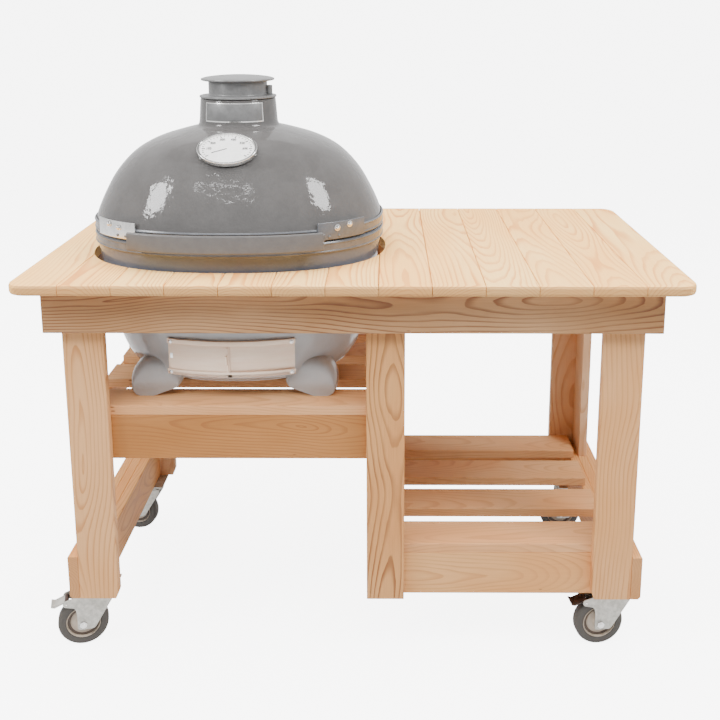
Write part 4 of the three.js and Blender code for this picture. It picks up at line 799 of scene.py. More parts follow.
# %% [markdown]
# The bowl is a deep tub that curves in to a flat floor. In front, its wall swells out to a flat-bottomed
# patch shaped to the arc of the draft door. The swelling is a smooth pull of the wall's points towards that
# arc, strongest behind the door's frame and fading out round it, which is how the mould leaves it.

# %% Bowl shell
SHELF_Z, BOWL_H, SEAM_Z = 0.658, 0.396, 1.055
DRAFT_R, DRAFT_CENTRE_Y, DRAFT_Z, DRAFT_H = 0.437, 0.13596, 0.722, 0.090
DRAFT_TOP = DRAFT_Z + DRAFT_H
BOWL_SHARES = np.array([[0.56, 0.081], [0.648, 0.083], [0.72, 0.101], [0.786, 0.152], [0.849, 0.253],
                        [0.901, 0.409], [0.948, 0.611], [0.978, 0.813], [0.995, 0.924], [1, 0.985]])


def bowl_outside():
    """The wall through its measured points as shares of half-width and height."""
    return curve_through(BOWL_SHARES * [HALF_WIDTH, BOWL_H] + [0, SHELF_Z], 8)


def bowl_profile():
    """Floor underneath, wall up to the rim, the ledge for the grate, the inner wall and the floor inside."""
    outside = bowl_outside()
    ledge_r, bore_r, ledge_z = HALF_WIDTH - 0.039, HALF_WIDTH - 0.027, SEAM_Z - 0.021
    top = [[HALF_WIDTH, SEAM_Z - 0.003], [HALF_WIDTH - 0.002, SEAM_Z - 0.001],
           [bore_r + 0.003, SEAM_Z - 0.001], [bore_r, SEAM_Z - 0.004], [bore_r, ledge_z],
           [ledge_r + 0.002, ledge_z], [ledge_r, ledge_z - 0.002]]
    inner = curve_through([[ledge_r - 0.003, 0.99], [0.318, 0.93], [0.300, 0.84], [0.278, 0.775],
                           [0.245, 0.738], [0.205, 0.727], [0.150, 0.726]], 5)
    return np.vstack([[[0, 0.690], [0.12, 0.690]], outside, top, inner, [[0.05, 0.726], [0, 0.726]]])


def arc_y(x):
    """The front of the arc that the draft frame follows, y = centre - sqrt(R^2 - x^2)."""
    x = np.clip(x - GRILL[0], -0.30, 0.30)
    return DRAFT_CENTRE_Y - np.sqrt(DRAFT_R**2 - x**2)


def moulded_front(points, outer_rows):
    """Outer points near the door move to its arc; weight = step across x times step over z, in front."""
    x, y, z = points[:outer_rows, :, 0], points[:outer_rows, :, 1], points[:outer_rows, :, 2]
    across = 1 - smooth_step((np.abs(x - GRILL[0]) - 0.150) / 0.045)
    upward = smooth_step((z - 0.702) / 0.018) * (1 - smooth_step((z - (DRAFT_TOP + 0.002)) / 0.040))
    weight = across * upward * (y < GRILL[1])
    points[:outer_rows, :, 1] = y + weight * (np.minimum(arc_y(x) - y, 0.004))
    return points


def make_bowl():
    """(r, z) carried round the oval, then its outer rows are moulded to the door's arc."""
    profile = bowl_profile()
    outer_rows = 2 + len(bowl_outside())
    points = oval_points(profile[:, :1], profile[:, 1:], even_angles(240))
    return grid_piece("bowl_shell", moulded_front(points, outer_rows), loop_columns=True)


bowl = make_bowl()
print("bowl faces:", len(bowl.data.polygons))

# %% [markdown]
# Everything on the draft door follows one arc, so its plates are small blocks given as an angle along the
# arc, a height and a depth in front of it. A grid that wraps a rounded section along the arc makes each
# plate.

# %% Blocks on the draft door's arc
def on_arc(angle, depth, z):
    """Angle in degrees from the middle, to the right; depth in front of the arc."""
    a, r = np.radians(angle), DRAFT_R + depth
    return np.stack([GRILL[0] + r * np.sin(a), DRAFT_CENTRE_Y - r * np.cos(a), z + 0 * a], axis=-1)


def arc_block(name, angles, heights, depths, edge=0.0008, steps=None):
    """A rounded rectangle of height and depth carried along the arc, in steps of about 1.2 degrees."""
    count = steps or max(3, int(abs(angles[1] - angles[0]) / 1.2))
    section = softened(rectangle(depths[0], depths[1], heights[0], heights[1]), edge)
    u = np.linspace(angles[0], angles[1], count)[:, None]
    return grid_piece(name, on_arc(u, section[None, :, 0], section[None, :, 1]), loop_columns=True, caps=True)


def evaluated_mesh(thing):
    """The mesh as its modifiers, or a text's outline, make it."""
    bpy.context.view_layer.update()
    return bpy.data.meshes.new_from_object(thing.evaluated_get(bpy.context.evaluated_depsgraph_get()))


def carved(thing, cutter):
    """Cuts a hole with an exact boolean and keeps the result as the object's own mesh."""
    cut = thing.modifiers.new("cut", "BOOLEAN")
    cut.operation, cut.solver, cut.object = "DIFFERENCE", "EXACT", cutter
    result = evaluated_mesh(thing)
    thing.modifiers.clear()
    thing.data = result
    bpy.data.objects.remove(cutter)
    return thing


port = cleaned(arc_block("port_cutter", (-18, -1.5), (DRAFT_Z + 0.016, DRAFT_Z + 0.074), (-0.130, 0.012)))
carved(cleaned(bowl), port)
finished(bowl, "grill", bowl_glaze_painted_light, "grill_glaze", ["grill_bowl"], angle=50)
print("bowl with its port:", len(bowl.data.polygons))

# %% [markdown]
# The bowl stands on feet like paws, rounded outside, with a flat sole and a toe that slants up towards the
# middle. They are cast with the bowl. A foot is a closed outline carried along the depth, and towards its
# front it shrinks onto its sole, as a paw does.

# %% Feet
FOOT_OUTLINE = np.array([[206, 94], [232, 84], [250, 62], [257, 36], [254, 12], [243, 1], [224, 0], [200, 0],
                         [164, 16], [132, 31], [126, 40], [128, 56], [144, 76], [172, 92]]) * MM
FOOT_DEPTH, FOOT_SET_BACK = 0.095, 0.034
FOOT_CLOSING, FOOT_INSETS = 0.034, (0.012, 0.030)
SIDES = ((-1, "left"), (1, "right"))


def paw(name, outline, depths, steps=9):
    """Outline rings along y; towards each end they shrink onto the sole as a quarter circle does."""
    ring = curve_through(outline, 5, loop=True)
    anchor = np.array([ring[:, 0].mean(), SHELF_Z])
    reach = np.abs(ring - anchor).max(axis=0)
    t = np.linspace(0, np.pi / 2, steps)
    closing = 1 - (1 - np.sin(t))[:, None] * FOOT_INSETS / reach
    into = FOOT_CLOSING * (1 - np.cos(t))
    y = np.concatenate([depths[0] + into, depths[1] - into[::-1]])
    scale = np.concatenate([closing, closing[::-1]])
    rings = anchor + (ring - anchor)[None] * scale[:, None, :]
    points = np.stack([rings[..., 0], y[:, None] + 0 * rings[..., 0], rings[..., 1]], axis=-1)
    return grid_piece(name, points, loop_columns=True, caps=True)


def make_feet():
    """Two feet in front, just behind the door's arc, and two as far from the middle at the back."""
    front = arc_y(GRILL[0]) + FOOT_SET_BACK
    for side, word in SIDES:
        for y, row in ((front, "front"), (2 * GRILL[1] - front - FOOT_DEPTH, "back")):
            outline = FOOT_OUTLINE * [side, 1] + [GRILL[0], SHELF_Z]
            foot = paw("foot_%s_%s" % (row, word), outline, (y, y + FOOT_DEPTH))
            finished(foot, "grill", bowl_glaze_painted_light, "grill_glaze", angle=60)


make_feet()
print("feet:", [name for name in made if name.startswith("foot")])

# %% [markdown]
# Steel bands grip the rims of both shells. A band is rolled from strip with a bead along each edge, which
# keeps it stiff and catches the light as a thin line. Its section is drawn once and pressed into the same
# oval.

# %% Bands, gasket and bolts
BAND_IN, BAND_OUT = HALF_WIDTH + 0.0004, HALF_WIDTH + 0.0030
BAND_GAP, BAND_H = 0.003, 0.030


def bead(z, radius=0.0024, reach=0.0016, steps=7):
    """Half a circle that stands out from the band at height z."""
    a = np.linspace(-np.pi / 2, np.pi / 2, steps)
    return np.column_stack([BAND_OUT + reach * np.cos(a), z + radius * np.sin(a)])


def band_profile(low, high):
    """A strip's section between two heights: flat inside, and outside a bead along each edge."""
    edge_r = BAND_OUT - 0.001
    outside = np.vstack([[[edge_r, low]], bead(low + 0.004), bead(high - 0.004), [[edge_r, high]]])
    return np.vstack([[[BAND_IN, low]], outside, [[BAND_IN, high]]])


lid_band = oval("lid_band", band_profile(SEAM_Z + BAND_GAP, SEAM_Z + BAND_H), 200)
finished(lid_band, "grill_lid", band_paint, "grill_band", ["grill_lid_band"])
bowl_band = oval("bowl_band", band_profile(SEAM_Z - BAND_H, SEAM_Z - BAND_GAP), 200)
finished(bowl_band, "grill", band_paint, "grill_band", ["grill_bowl_band"])
felt_section = rectangle(HALF_WIDTH - 0.020, HALF_WIDTH - 0.003, SEAM_Z - 0.0012, SEAM_Z + 0.0008)
finished(oval("gasket", felt_section, 160), "grill", felt, "grill_glaze")


def front_of_band(x):
    """The point of the band's outside that is in front at x, and the outward direction there."""
    ring = fine_ring(BAND_OUT, -np.pi, 0)[1]
    order = np.argsort(ring[:, 0])
    before, y, after = np.interp([x - 0.002, x, x + 0.002], ring[order, 0], ring[order, 1])
    slope = (after - before) / 0.004
    return np.array([x, y, 0]), np.array([slope, -1, 0]) / math.hypot(1, slope)


def button(name, centre, axis, profile, segments=20, turn=0.0):
    """A turned knob along any axis: centre + axis h + r (u cos a + v sin a), u and v square to the axis."""
    p = np.asarray(profile, float)
    axis = np.asarray(axis, float) / np.linalg.norm(axis)
    u = np.cross(axis, [0, 0, 1]) if abs(axis[2]) < 0.9 else np.array([1.0, 0, 0])
    u = u / np.linalg.norm(u)
    v = np.cross(axis, u)
    a = circle(segments)[..., None] + turn
    r, h = p[:, 0][:, None, None], p[:, 1][:, None, None]
    points = np.asarray(centre) + axis * h + r * (u * np.cos(a) + v * np.sin(a))
    return grid_piece(name, points, loop_columns=True)


def dome_bolt(name, centre, axis, radius, height, material=bright_steel, body="grill_lid", slot="grill_band"):
    """A washer and a round head: radius and height follow a quarter circle."""
    a = np.linspace(0, np.pi / 2, 7)
    head = np.column_stack([radius * np.cos(a), 0.0015 + height * np.sin(a)])
    profile = np.vstack([[0, 0], [radius * 1.35, 0], [radius * 1.35, 0.0012], [radius, 0.0015], head[1:]])
    return finished(button(name, centre, axis, profile), body, material, slot, angle=40)


print("bands from", SEAM_Z - BAND_H, "to", SEAM_Z + BAND_H, "m")

# %% [markdown]
# The lid's handle is a wide flat bar that follows the band in front of it. It sits on a plate at each end,
# held to the band by two round-headed bolts, and leaves room behind it for the fingers. The bar is a
# rounded rectangle carried along the oval.

# %% Handle
BAR_X, BAR_Z, BAR_OFF = (-0.528, -0.072), (1.040, 1.084), (0.0294, 0.0402)
ARM_X, ARM_Z = (0.196, 0.226), (1.060, 1.078)
PLATE_X, PLATE_Z, PLATE_OFF = (0.215, 0.322), (1.0585, 1.1005), (0.0016, 0.0046)
BOLTS = ((0.258, 1.0860), (0.286, 1.0905))
RIVETS = ((0.240, 1.0665), (0.262, 1.0665))


def follow_oval(name, x_range, radii, heights, edge, steps=60):
    """A rounded section in (radius, height) carried along the oval's front between two values of x."""
    section = softened(rectangle(*radii, *heights), edge, 4)
    a, ring = fine_ring(np.mean(radii), -np.pi, 0)
    places = np.interp(np.linspace(*x_range, steps), ring[:, 0], a)[:, None]
    points = oval_points(section[None, :, 0], section[None, :, 1], places)
    return grid_piece(name, points, loop_columns=True, caps=True)


def make_handle():
    """A bar in front, and on each side an arm to the band, a plate on it, two bolts and two rivets."""
    bar = follow_oval("handle_bar", BAR_X, [HALF_WIDTH + off for off in BAR_OFF], BAR_Z, 0.0045)
    finished(bar, "grill_lid", handle_paint, "grill_band", bevel=0.0012)
    for side, word in SIDES:
        x = sorted(GRILL[0] + side * offset for offset in ARM_X)
        arm = follow_oval("handle_arm_" + word, x, (BAND_OUT - 0.0005, HALF_WIDTH + 0.030), ARM_Z, 0.003, 8)
        finished(arm, "grill_lid", handle_paint, "grill_band", bevel=0.001)
        x = sorted(GRILL[0] + side * offset for offset in PLATE_X)
        plate = follow_oval("handle_plate_" + word, x, [BAND_OUT + off for off in PLATE_OFF], PLATE_Z,
                            0.0012, 16)
        # The left plate is bright steel and the right one painted like the band: the left one's brightness is
        # a painted highlight.
        finished(plate, "grill_lid", bright_steel if side < 0 else band_paint, "grill_band")
        for kind, spots, seat, size, material in (("bolt", BOLTS, 0.0044, (0.0058, 0.0052), bright_steel),
                                                  ("rivet", RIVETS, 0.0042, (0.0026, 0.0012), iron)):
            for number, (offset, z) in enumerate(spots):
                place, out = front_of_band(GRILL[0] + side * offset)
                name = "handle_%s_%s_%d" % (kind, word, number + 1)
                dome_bolt(name, place + out * seat + [0, 0, z], out, *size, material)


make_handle()
print("pieces of the handle:", sum(name.startswith("handle") for name in made))

# %% [markdown]
# At the back the bands join in a hinge. Two ears on the bowl's band hold a pin, and the lid's knuckle turns
# on it between them. The pin lies level with the seam and a finger's width behind the band.

# %% Hinge
HINGE_Y, EAR_X, KNUCKLE_X, PIN_X = 0.26611, (0.048, 0.062), 0.047, 0.066
KNUCKLE_R, PIN_R = 0.011, 0.005
LEAF_Z = (0.003, 0.019)


def rod(name, start, end, radius, edge=0.0008, segments=28):
    """A turned bar with eased ends from one point to another."""
    axis = np.subtract(end, start)
    length = np.linalg.norm(axis)
    profile = [[0, 0], [radius - edge, 0], [radius, edge], [radius, length - edge], [radius - edge, length],
               [0, length]]
    return button(name, start, axis, profile, segments)


def block(name, low, high):
    """A plain box between two corners; its edges are rounded by a Bevel modifier."""
    x, y = rectangle(low[0], high[0], low[1], high[1]).T
    points = np.stack([np.column_stack([x, y, 0 * x + z]) for z in (low[2], high[2])])
    return grid_piece(name, points, loop_columns=True, caps=True)


def make_hinge():
    """Barrels along x at the hinge's height, each joined to its band by a leaf above or below the seam."""
    back = GRILL[1] + HALF_DEPTH + 0.001
    leaves = [("hinge_ear_left", "hinge_link_left", "grill", (-EAR_X[1], -EAR_X[0]), -1),
              ("hinge_ear_right", "hinge_link_right", "grill", EAR_X, -1),
              ("hinge_knuckle", "hinge_leaf", "grill_lid", (-KNUCKLE_X, KNUCKLE_X), 1)]
    for barrel_name, leaf_name, body, offsets, side in leaves:
        x = [GRILL[0] + offset for offset in offsets]
        z = sorted(SEAM_Z + side * height for height in LEAF_Z)
        barrel = rod(barrel_name, (x[0], HINGE_Y, SEAM_Z), (x[1], HINGE_Y, SEAM_Z), KNUCKLE_R)
        finished(barrel, body, band_paint, "grill_band")
        leaf = block(leaf_name, (x[0], back, z[0]), (x[1], HINGE_Y, z[1]))
        finished(leaf, body, band_paint, "grill_band", bevel=0.001)
    pin = rod("hinge_pin", (GRILL[0] - PIN_X, HINGE_Y, SEAM_Z), (GRILL[0] + PIN_X, HINGE_Y, SEAM_Z), PIN_R)
    finished(pin, "grill", bright_steel, "grill_band")


make_hinge()
print("pieces of the hinge:", [name for name in made if name.startswith("hinge")])

# %% [markdown]
# The draft door closes the port low in the bowl's front. Its frame is brushed steel: an end plate with a
# screw at each corner, a rail above, and a rail with a lip below that the door slides behind. The right
# half is fixed.

# %% Draft door
FRAME_END, PANEL_END, SCREW_AT = 20.5, 18.0, 19.3
SHEET = (0.0003, 0.0038)


def make_draft():
    """Plates as ranges of angle, height and depth on the arc, then a screw at each corner and the latch."""
    whole = (-FRAME_END, FRAME_END)
    plates = {
        "draft_end_left": ((-FRAME_END, -PANEL_END), (DRAFT_Z, DRAFT_TOP), SHEET),
        "draft_end_right": ((PANEL_END, FRAME_END), (DRAFT_Z, DRAFT_TOP), SHEET),
        "draft_fixed_panel": ((-1.4, PANEL_END), (DRAFT_Z + 0.009, DRAFT_TOP - 0.009), SHEET),
        "draft_rail_top": (whole, (DRAFT_TOP - 0.011, DRAFT_TOP), (0.0003, 0.0090)),
        "draft_rail_foot": (whole, (DRAFT_Z, DRAFT_Z + 0.0085), (0.0003, 0.0098)),
        "draft_lip": (whole, (DRAFT_Z, DRAFT_Z + 0.0135), (0.0076, 0.0098)),
    }
    for name, (angles, heights, depths) in plates.items():
        finished(arc_block(name, angles, heights, depths), "grill", draft_steel, "draft_steel",
                 ["grill_draft_frame"] if name == "draft_lip" else ())
    for side, word in SIDES:
        angle = side * SCREW_AT
        out = on_arc(angle, 1.0, 0.0) - on_arc(angle, 0.0, 0.0)
        for number, z in enumerate((DRAFT_Z + 0.0065, DRAFT_TOP - 0.0065)):
            dome_bolt("draft_screw_%s_%d" % (word, number + 1), on_arc(angle, 0.0092, z), out, 0.0036, 0.0016,
                      bright_steel, "grill", "draft_steel")
    latch = arc_block("draft_latch", (-19.6, -18.7), (DRAFT_Z + 0.040, DRAFT_Z + 0.054), (0.0036, 0.0075),
                      0.0015)
    finished(latch, "grill", bright_steel, "draft_steel")


def make_draft_door():
    """The sliding plate, with a fold along its free edge and a tab to push it by."""
    low, high = DRAFT_Z + 0.0095, DRAFT_TOP - 0.0115
    door = arc_block("draft_door_plate", (-19.8, 0.0), (low, high), (0.0043, 0.0070))
    finished(door, "draft_door", draft_steel, "draft_steel", ["grill_draft_door"])
    fold = arc_block("draft_door_fold", (-1.0, -0.45), (low + 0.003, high - 0.003), (0.0068, 0.0105),
                     0.0008, 4)
    finished(fold, "draft_door", draft_steel, "draft_steel")
    tab = arc_block("draft_door_tab", (-1.3, -0.7), (DRAFT_Z + 0.033, DRAFT_Z + 0.057), (0.0100, 0.0185),
                    0.002, 4)
    finished(tab, "draft_door", draft_steel, "draft_steel", bevel=0.0008)


make_draft()
make_draft_door()
print("pieces of the draft door:", sum(name.startswith("draft") for name in made))

# %% [markdown]
# The thermometer is an oval dial on the front of the dome, tilted as the dome is there. A polished bezel
# holds a white face with a scale, a needle and plain numbers. The dial is made lying flat about the origin
# and each piece's points are then carried to the seat, so that the objects themselves stay unturned.

# %% Thermometer seat
DIAL_HALF, DIAL_SHARE = 0.072, 0.66
FACE_HALF, FACE_Z = DIAL_HALF - 0.0070, 0.0056


def dial_seat():
    """Place and tilt from the lid's outline: the slope between the points beside the dial's, the eighth."""
    shares = DOME_SHARES[6:9]
    r, z = shares[:, 0] * HALF_WIDTH, LID_RIM_Z + shares[:, 1] * DOME_H
    y = GRILL[1] - r * (1 + (HALF_DEPTH / HALF_WIDTH - 1) * ovalness(r))
    tilt = math.atan2(y[2] - y[0], z[2] - z[0])
    return Matrix.Translation((GRILL[0], y[1], z[1])) @ Matrix.Rotation(math.pi / 2 - tilt, 4, "X")


SEAT = dial_seat()


def on_seat(thing):
    """Carries the mesh, made flat about the origin, to the dial's place on the dome."""
    thing.data.transform(SEAT)
    return thing


print("the dial's middle:", [round(v, 3) for v in SEAT.translation])

# %% [markdown]
# The dial's pieces are simple when they lie flat: discs turned about the upright axis and squeezed to an
# oval, marks as thin boxes between two points of the face, and numbers from Blender's own text.

# %% Thermometer
def dial_disc(name, profile, segments=72):
    """Turned about +Z, then made an oval: y times the share of depth over width."""
    p = np.asarray(profile, float)
    a = circle(segments)
    depth = p[:, :1] - (DIAL_HALF - DIAL_HALF * DIAL_SHARE) * np.clip(p[:, :1] / DIAL_HALF, 0, 1)
    points = np.stack([p[:, :1] * np.cos(a), depth * np.sin(a), p[:, 1:] + 0 * a], axis=-1)
    return on_seat(grid_piece(name, points, loop_columns=True))


def make_dial():
    """A bezel with a half-round rim, a face inside it and the probe's stem behind."""
    bead_r, bead_z, bead_h = 0.0035, 0.0055, 0.0030
    turn = np.linspace(0, np.pi, 9)
    rim = np.column_stack([DIAL_HALF - bead_r + bead_r * np.cos(turn), bead_z + bead_h * np.sin(turn)])
    bezel = np.vstack([[[DIAL_HALF - 0.010, -0.004], [DIAL_HALF, -0.004]], rim,
                       [[DIAL_HALF - 0.0075, 0.0045]]])
    disc = dial_disc("dial_bezel", np.vstack([bezel, bezel[:1]]))
    finished(disc, "grill_lid", bright_steel, "dial", ["grill_thermometer"])
    face = dial_disc("dial_face", [[0, 0.0052], [FACE_HALF, 0.0046], [FACE_HALF, 0.002], [0, 0.002]])
    finished(face, "grill_lid", dial_white, "dial")
    stem = on_seat(rod("dial_stem", (0, 0, -0.060), (0, 0, -0.003), 0.005))
    finished(stem, "grill_lid", bright_steel, "dial")


make_dial()
print("pieces of the dial:", [name for name in made if name.startswith("dial")])

# %% [markdown]
# A scale is printed round the edge of the face, with a longer mark at every fourth place, plain numbers
# inside it and a needle that rests at the cold end. Every mark lies a hair above the face, so that it isn't
# lost in it.

# %% Scale, needle and numbers
def dial_point(angle, share, height=FACE_Z):
    """A point of the face: angle clockwise from the top, share of the face's half-width."""
    a = math.radians(angle)
    return np.array([FACE_HALF * share * math.sin(a), FACE_HALF * DIAL_SHARE * share * math.cos(a), height])


def stroke(start, end, width):
    """A thin flat box between two points of the face."""
    along = (end - start) / np.linalg.norm(end - start)
    side = np.array([-along[1], along[0], 0]) * width / 2
    low = np.array([start - side, start + side, end + side, end - side])
    return np.stack([low - [0, 0, 0.0008], low])


def make_scale():
    """Ticks every 9 degrees from -126 to 126, longer at every fourth, and the needle; all in one mesh."""
    boxes = []
    for number, angle in enumerate(np.arange(-126, 127, 9)):
        inner, width = (0.80, 0.0014) if number % 4 == 0 else (0.86, 0.0008)
        boxes.append(stroke(dial_point(angle, inner), dial_point(angle, 0.92), width))
    boxes.append(stroke(dial_point(-126, 0.0), dial_point(-118, 0.62, 0.0058), 0.0018))
    faces = []
    for i in range(0, len(boxes) * 8, 8):
        faces += [[i, i + 1, i + 2, i + 3], [i + 4, i + 5, i + 6, i + 7]]
        faces += [[i + j, i + (j + 1) % 4, i + 4 + (j + 1) % 4, i + 4 + j] for j in range(4)]
    finished(on_seat(new_object("dial_scale", np.concatenate(boxes), faces)), "grill_lid", dial_ink, "dial")


def make_numbers():
    """Plain numbers round the scale, made a mesh before they are set on the seat."""
    for number, angle in enumerate(range(-90, 91, 36)):
        curve = bpy.data.curves.new("number", "FONT")
        curve.body = str(100 * (number + 1))
        curve.size, curve.extrude, curve.align_x, curve.align_y = 0.0085, 0.0003, "CENTER", "CENTER"
        text = bpy.data.objects.new("number", curve)
        bpy.context.scene.collection.objects.link(text)
        mesh = evaluated_mesh(text)
        bpy.data.objects.remove(text)
        mesh.transform(Matrix.Translation(dial_point(angle, 0.66)))
        thing = bpy.data.objects.new("dial_number_%d" % (number + 1), mesh)
        bpy.context.scene.collection.objects.link(thing)
        finished(on_seat(thing), "grill_lid", dial_ink, "dial")


make_scale()
make_numbers()
print("numbers on the dial:", sum(name.startswith("dial_number") for name in made))

# %% [markdown]
# The chimney's front carries a thin plate, left bare here, with a narrow bright edge. Above the neck stands
# a cast iron vent: a ring with a flange, a lug for the pin, and a cap like a flat mushroom that swings
# aside on it.

# %% Chimney plate and vent
PLATE_LOW, PLATE_HIGH = 1.3215, 1.3690
VENT_H, CAP_GAP, VENT_PIN_X = 0.0413, 0.0007, -0.2305
RING_BORE, RING_R, FLANGE_R = 0.065, 0.074, 0.097


def neck_plate(name, half_angle, low, high, depth):
    """A sheet bent round the neck: angle to the left and right of the front, radius from the neck's taper."""
    a = np.radians(np.linspace(-half_angle, half_angle, 40))[:, None] - np.pi / 2
    depths, z = softened(rectangle(0.0, depth, low, high), 0.0004, 3).T
    taper = NECK_FOOT_R - (NECK_FOOT_R - NECK_TOP_R) * (z - (DOME_TOP + 0.007)) / (NECK_H - 0.007)
    r = taper + depths - 0.0004
    points = np.stack([GRILL[0] + r * np.cos(a), GRILL[1] + r * np.sin(a), z + 0 * a], axis=-1)
    return grid_piece(name, points, loop_columns=True, caps=True)


def make_neck_plate():
    """A bright sheet with a grey field a little smaller and thicker on it, so that a narrow edge shows."""
    edge = neck_plate("neck_plate_edge", 46.5, PLATE_LOW, PLATE_HIGH, 0.0012)
    finished(edge, "grill_lid", bright_steel, "grill_glaze")
    field = neck_plate("neck_plate_field", 44.8, PLATE_LOW + 0.0030, PLATE_HIGH - 0.0022, 0.0018)
    finished(field, "grill_lid", iron, "grill_glaze")


def make_vent():
    """A flanged ring, and beside it the lug that holds the cap's pin."""
    z, top = NECK_TOP + 0.0003, NECK_TOP + VENT_H
    ring = softened([[RING_BORE, z], [FLANGE_R, z], [FLANGE_R, z + 0.005], [RING_R + 0.0015, z + 0.0062],
                     [RING_R, z + 0.009], [RING_R, top], [RING_BORE, top]], 0.0015)
    body = turned("vent_ring", ring, 96, GRILL, loop=True)
    finished(body, "grill_lid", iron, "grill_iron", ["grill_vent_body"])
    lug = softened([[0, z + 0.001], [0.009, z + 0.001], [0.009, z + 0.030], [0, z + 0.030]], 0.002,
                   loop=False)
    finished(turned("vent_lug", lug, 28, (GRILL[0] + 0.0785, GRILL[1])), "grill_lid", iron, "grill_iron")
    pin = rod("vent_pin", (VENT_PIN_X, GRILL[1], top - 0.001), (VENT_PIN_X, GRILL[1], top + 0.006), 0.003)
    finished(pin, "grill_lid", bright_steel, "grill_iron")


def make_cap():
    """A flat mushroom turned about the flue's middle, with a socket cut for the pin."""
    z = NECK_TOP + VENT_H + CAP_GAP
    over = curve_through([[0.0905, 0.0062], [0.080, 0.0090], [0.058, 0.0118], [0.030, 0.0138],
                          [0.0, 0.0145]], 6)
    under = [[0.0, 0.0], [0.060, 0.0], [0.0665, 0.0]]
    edge = [[0.088, 0.0], [0.0915, 0.0010], [0.0928, 0.0030], [0.0922, 0.0052]]
    cap = np.vstack([under, edge, over]) + [0, z]
    hole = [[0, 0], [0.0034, 0], [0.0034, 0.0085], [0, 0.0085]]
    socket = button("socket", (VENT_PIN_X, GRILL[1], z - 0.002), (0, 0, 1), hole)
    thing = carved(cleaned(turned("vent_cap", cap, 96, GRILL)), cleaned(socket))
    finished(thing, "vent_cap", iron, "grill_iron", ["grill_vent_cap"])


make_neck_plate()
make_vent()
make_cap()
print("pieces on the neck:", [name for name in made if name.startswith(("neck", "vent"))])

# %% [markdown]
# A caster is made once about its swivel axis, with the wheel trailing to the left, and is then turned and
# placed by the numbers of its joints in the frame, so the dressed casters follow the CAD ones exactly.

# %% Where the casters stand
WHEEL_R, TRAIL, CASTER_TOP = 0.0625, 0.040, 0.157
AXLE_X, AXLE_Z = -TRAIL, WHEEL_R - CASTER_TOP
CORNERS = ("front_left", "front_right", "back_left", "back_right")
joints = {joint["name"]: joint for joint in frame["joints"]}


def caster_yaw(corner):
    """The roll joint's axis lies across the wheel, along y before the caster is turned."""
    x, y = joints["roll_" + corner]["axis"][:2]
    return math.atan2(-x, y)


def on_caster(thing, kind, corner, material, replaced=(), slot="galvanised_steel", **how):
    """Turns and moves a piece from the swivel axis to its corner, under the leg, and hangs it on its body."""
    x, y = joints["swivel_" + corner]["pos_m"][:2]
    turn = Matrix.Rotation(caster_yaw(corner), 4, "Z")
    thing.data.transform(Matrix.Translation((x, y, CASTER_TOP)) @ turn)
    finished(thing, kind + "_" + corner, material, slot, replaced, **how)


print("casters turned by", [round(math.degrees(caster_yaw(corner)), 1) for corner in CORNERS])

# %% [markdown]
# The wheel is a grey rubber tyre moulded on a pale rim. Between tyre and hub the rim is dished, and the
# dish is painted dark, a ring of painted shade. Each is a closed profile turned about the axle, so their
# section is easy to check.

# %% Wheels
def about_axle(name, half_profile, segments=72):
    """(radius, half width) and its mirror image across the wheel, turned about the axle along y."""
    p = np.asarray(half_profile, float)
    whole = np.vstack([p, p[::-1] * [1, -1]])
    a = circle(segments)
    r, y = whole[:, :1], whole[:, 1:]
    points = np.stack([AXLE_X + r * np.cos(a), y + 0 * a, AXLE_Z + r * np.sin(a)], axis=-1)
    return grid_piece(name, points, loop_rows=True, loop_columns=True)


def make_wheel(corner):
    """Half sections from the bore outwards, or round the tyre's shoulder, each closed by its mirror image."""
    shoulder = rounding((WHEEL_R - 0.009, 0.007), np.pi / 2, 0.15, 0.009, 8)
    tread = np.vstack([[[0.0425, 0.0135], [0.0440, 0.0153]], shoulder, [[WHEEL_R, 0.004]]])
    rim = [[0.0396, 0.0080], [0.0398, 0.0138], [0.0405, 0.0150], [0.0416, 0.0150], [0.0424, 0.0140]]
    dish = [[0.0325, 0.0070], [0.0395, 0.0078]]
    hub = [[0.0055, 0.0188], [0.0150, 0.0188], [0.0160, 0.0178], [0.0165, 0.0110], [0.0300, 0.0100],
           [0.0319, 0.0088], [0.0324, 0.0068]]
    for name, profile, material, replaced in (
        ("tyre_", tread, tyre, ["caster_wheel_" + corner]), ("rim_", rim, rim_plastic, ()),
        ("dish_", dish, rim_shadow, ()), ("hub_", hub, rim_plastic, ()),
    ):
        on_caster(about_axle(name + corner, profile), "wheel", corner, material, replaced, "caster_tyre")


for corner in CORNERS:
    make_wheel(corner)
print("pieces of the wheels:", sum(name.startswith(("tyre", "rim", "dish", "hub")) for name in made))

# %% [markdown]
# The fork is pressed from galvanised sheet: two cheeks that drop from a round crown and hold the axle
# between two nuts. A cheek's outline is drawn in its own plane and given a thickness, and its corners are
# rounded.

# %% Cheeks of a fork
PLATE_T, RACE_H, PLAY = 0.004, 0.007, 0.0003
FORK_TOP = -PLATE_T - RACE_H - PLAY
CHEEK_Y = (0.0200, 0.0230)
TAIL_X, TOE_X, FRONT_X = -TRAIL - 0.014, -TRAIL + 0.027, 0.038
PIVOT_BACK, PIVOT_UP, EAR_R = 0.038, 0.0615, 0.009
PIVOT_X, PIVOT_Z = AXLE_X - PIVOT_BACK, AXLE_Z + PIVOT_UP


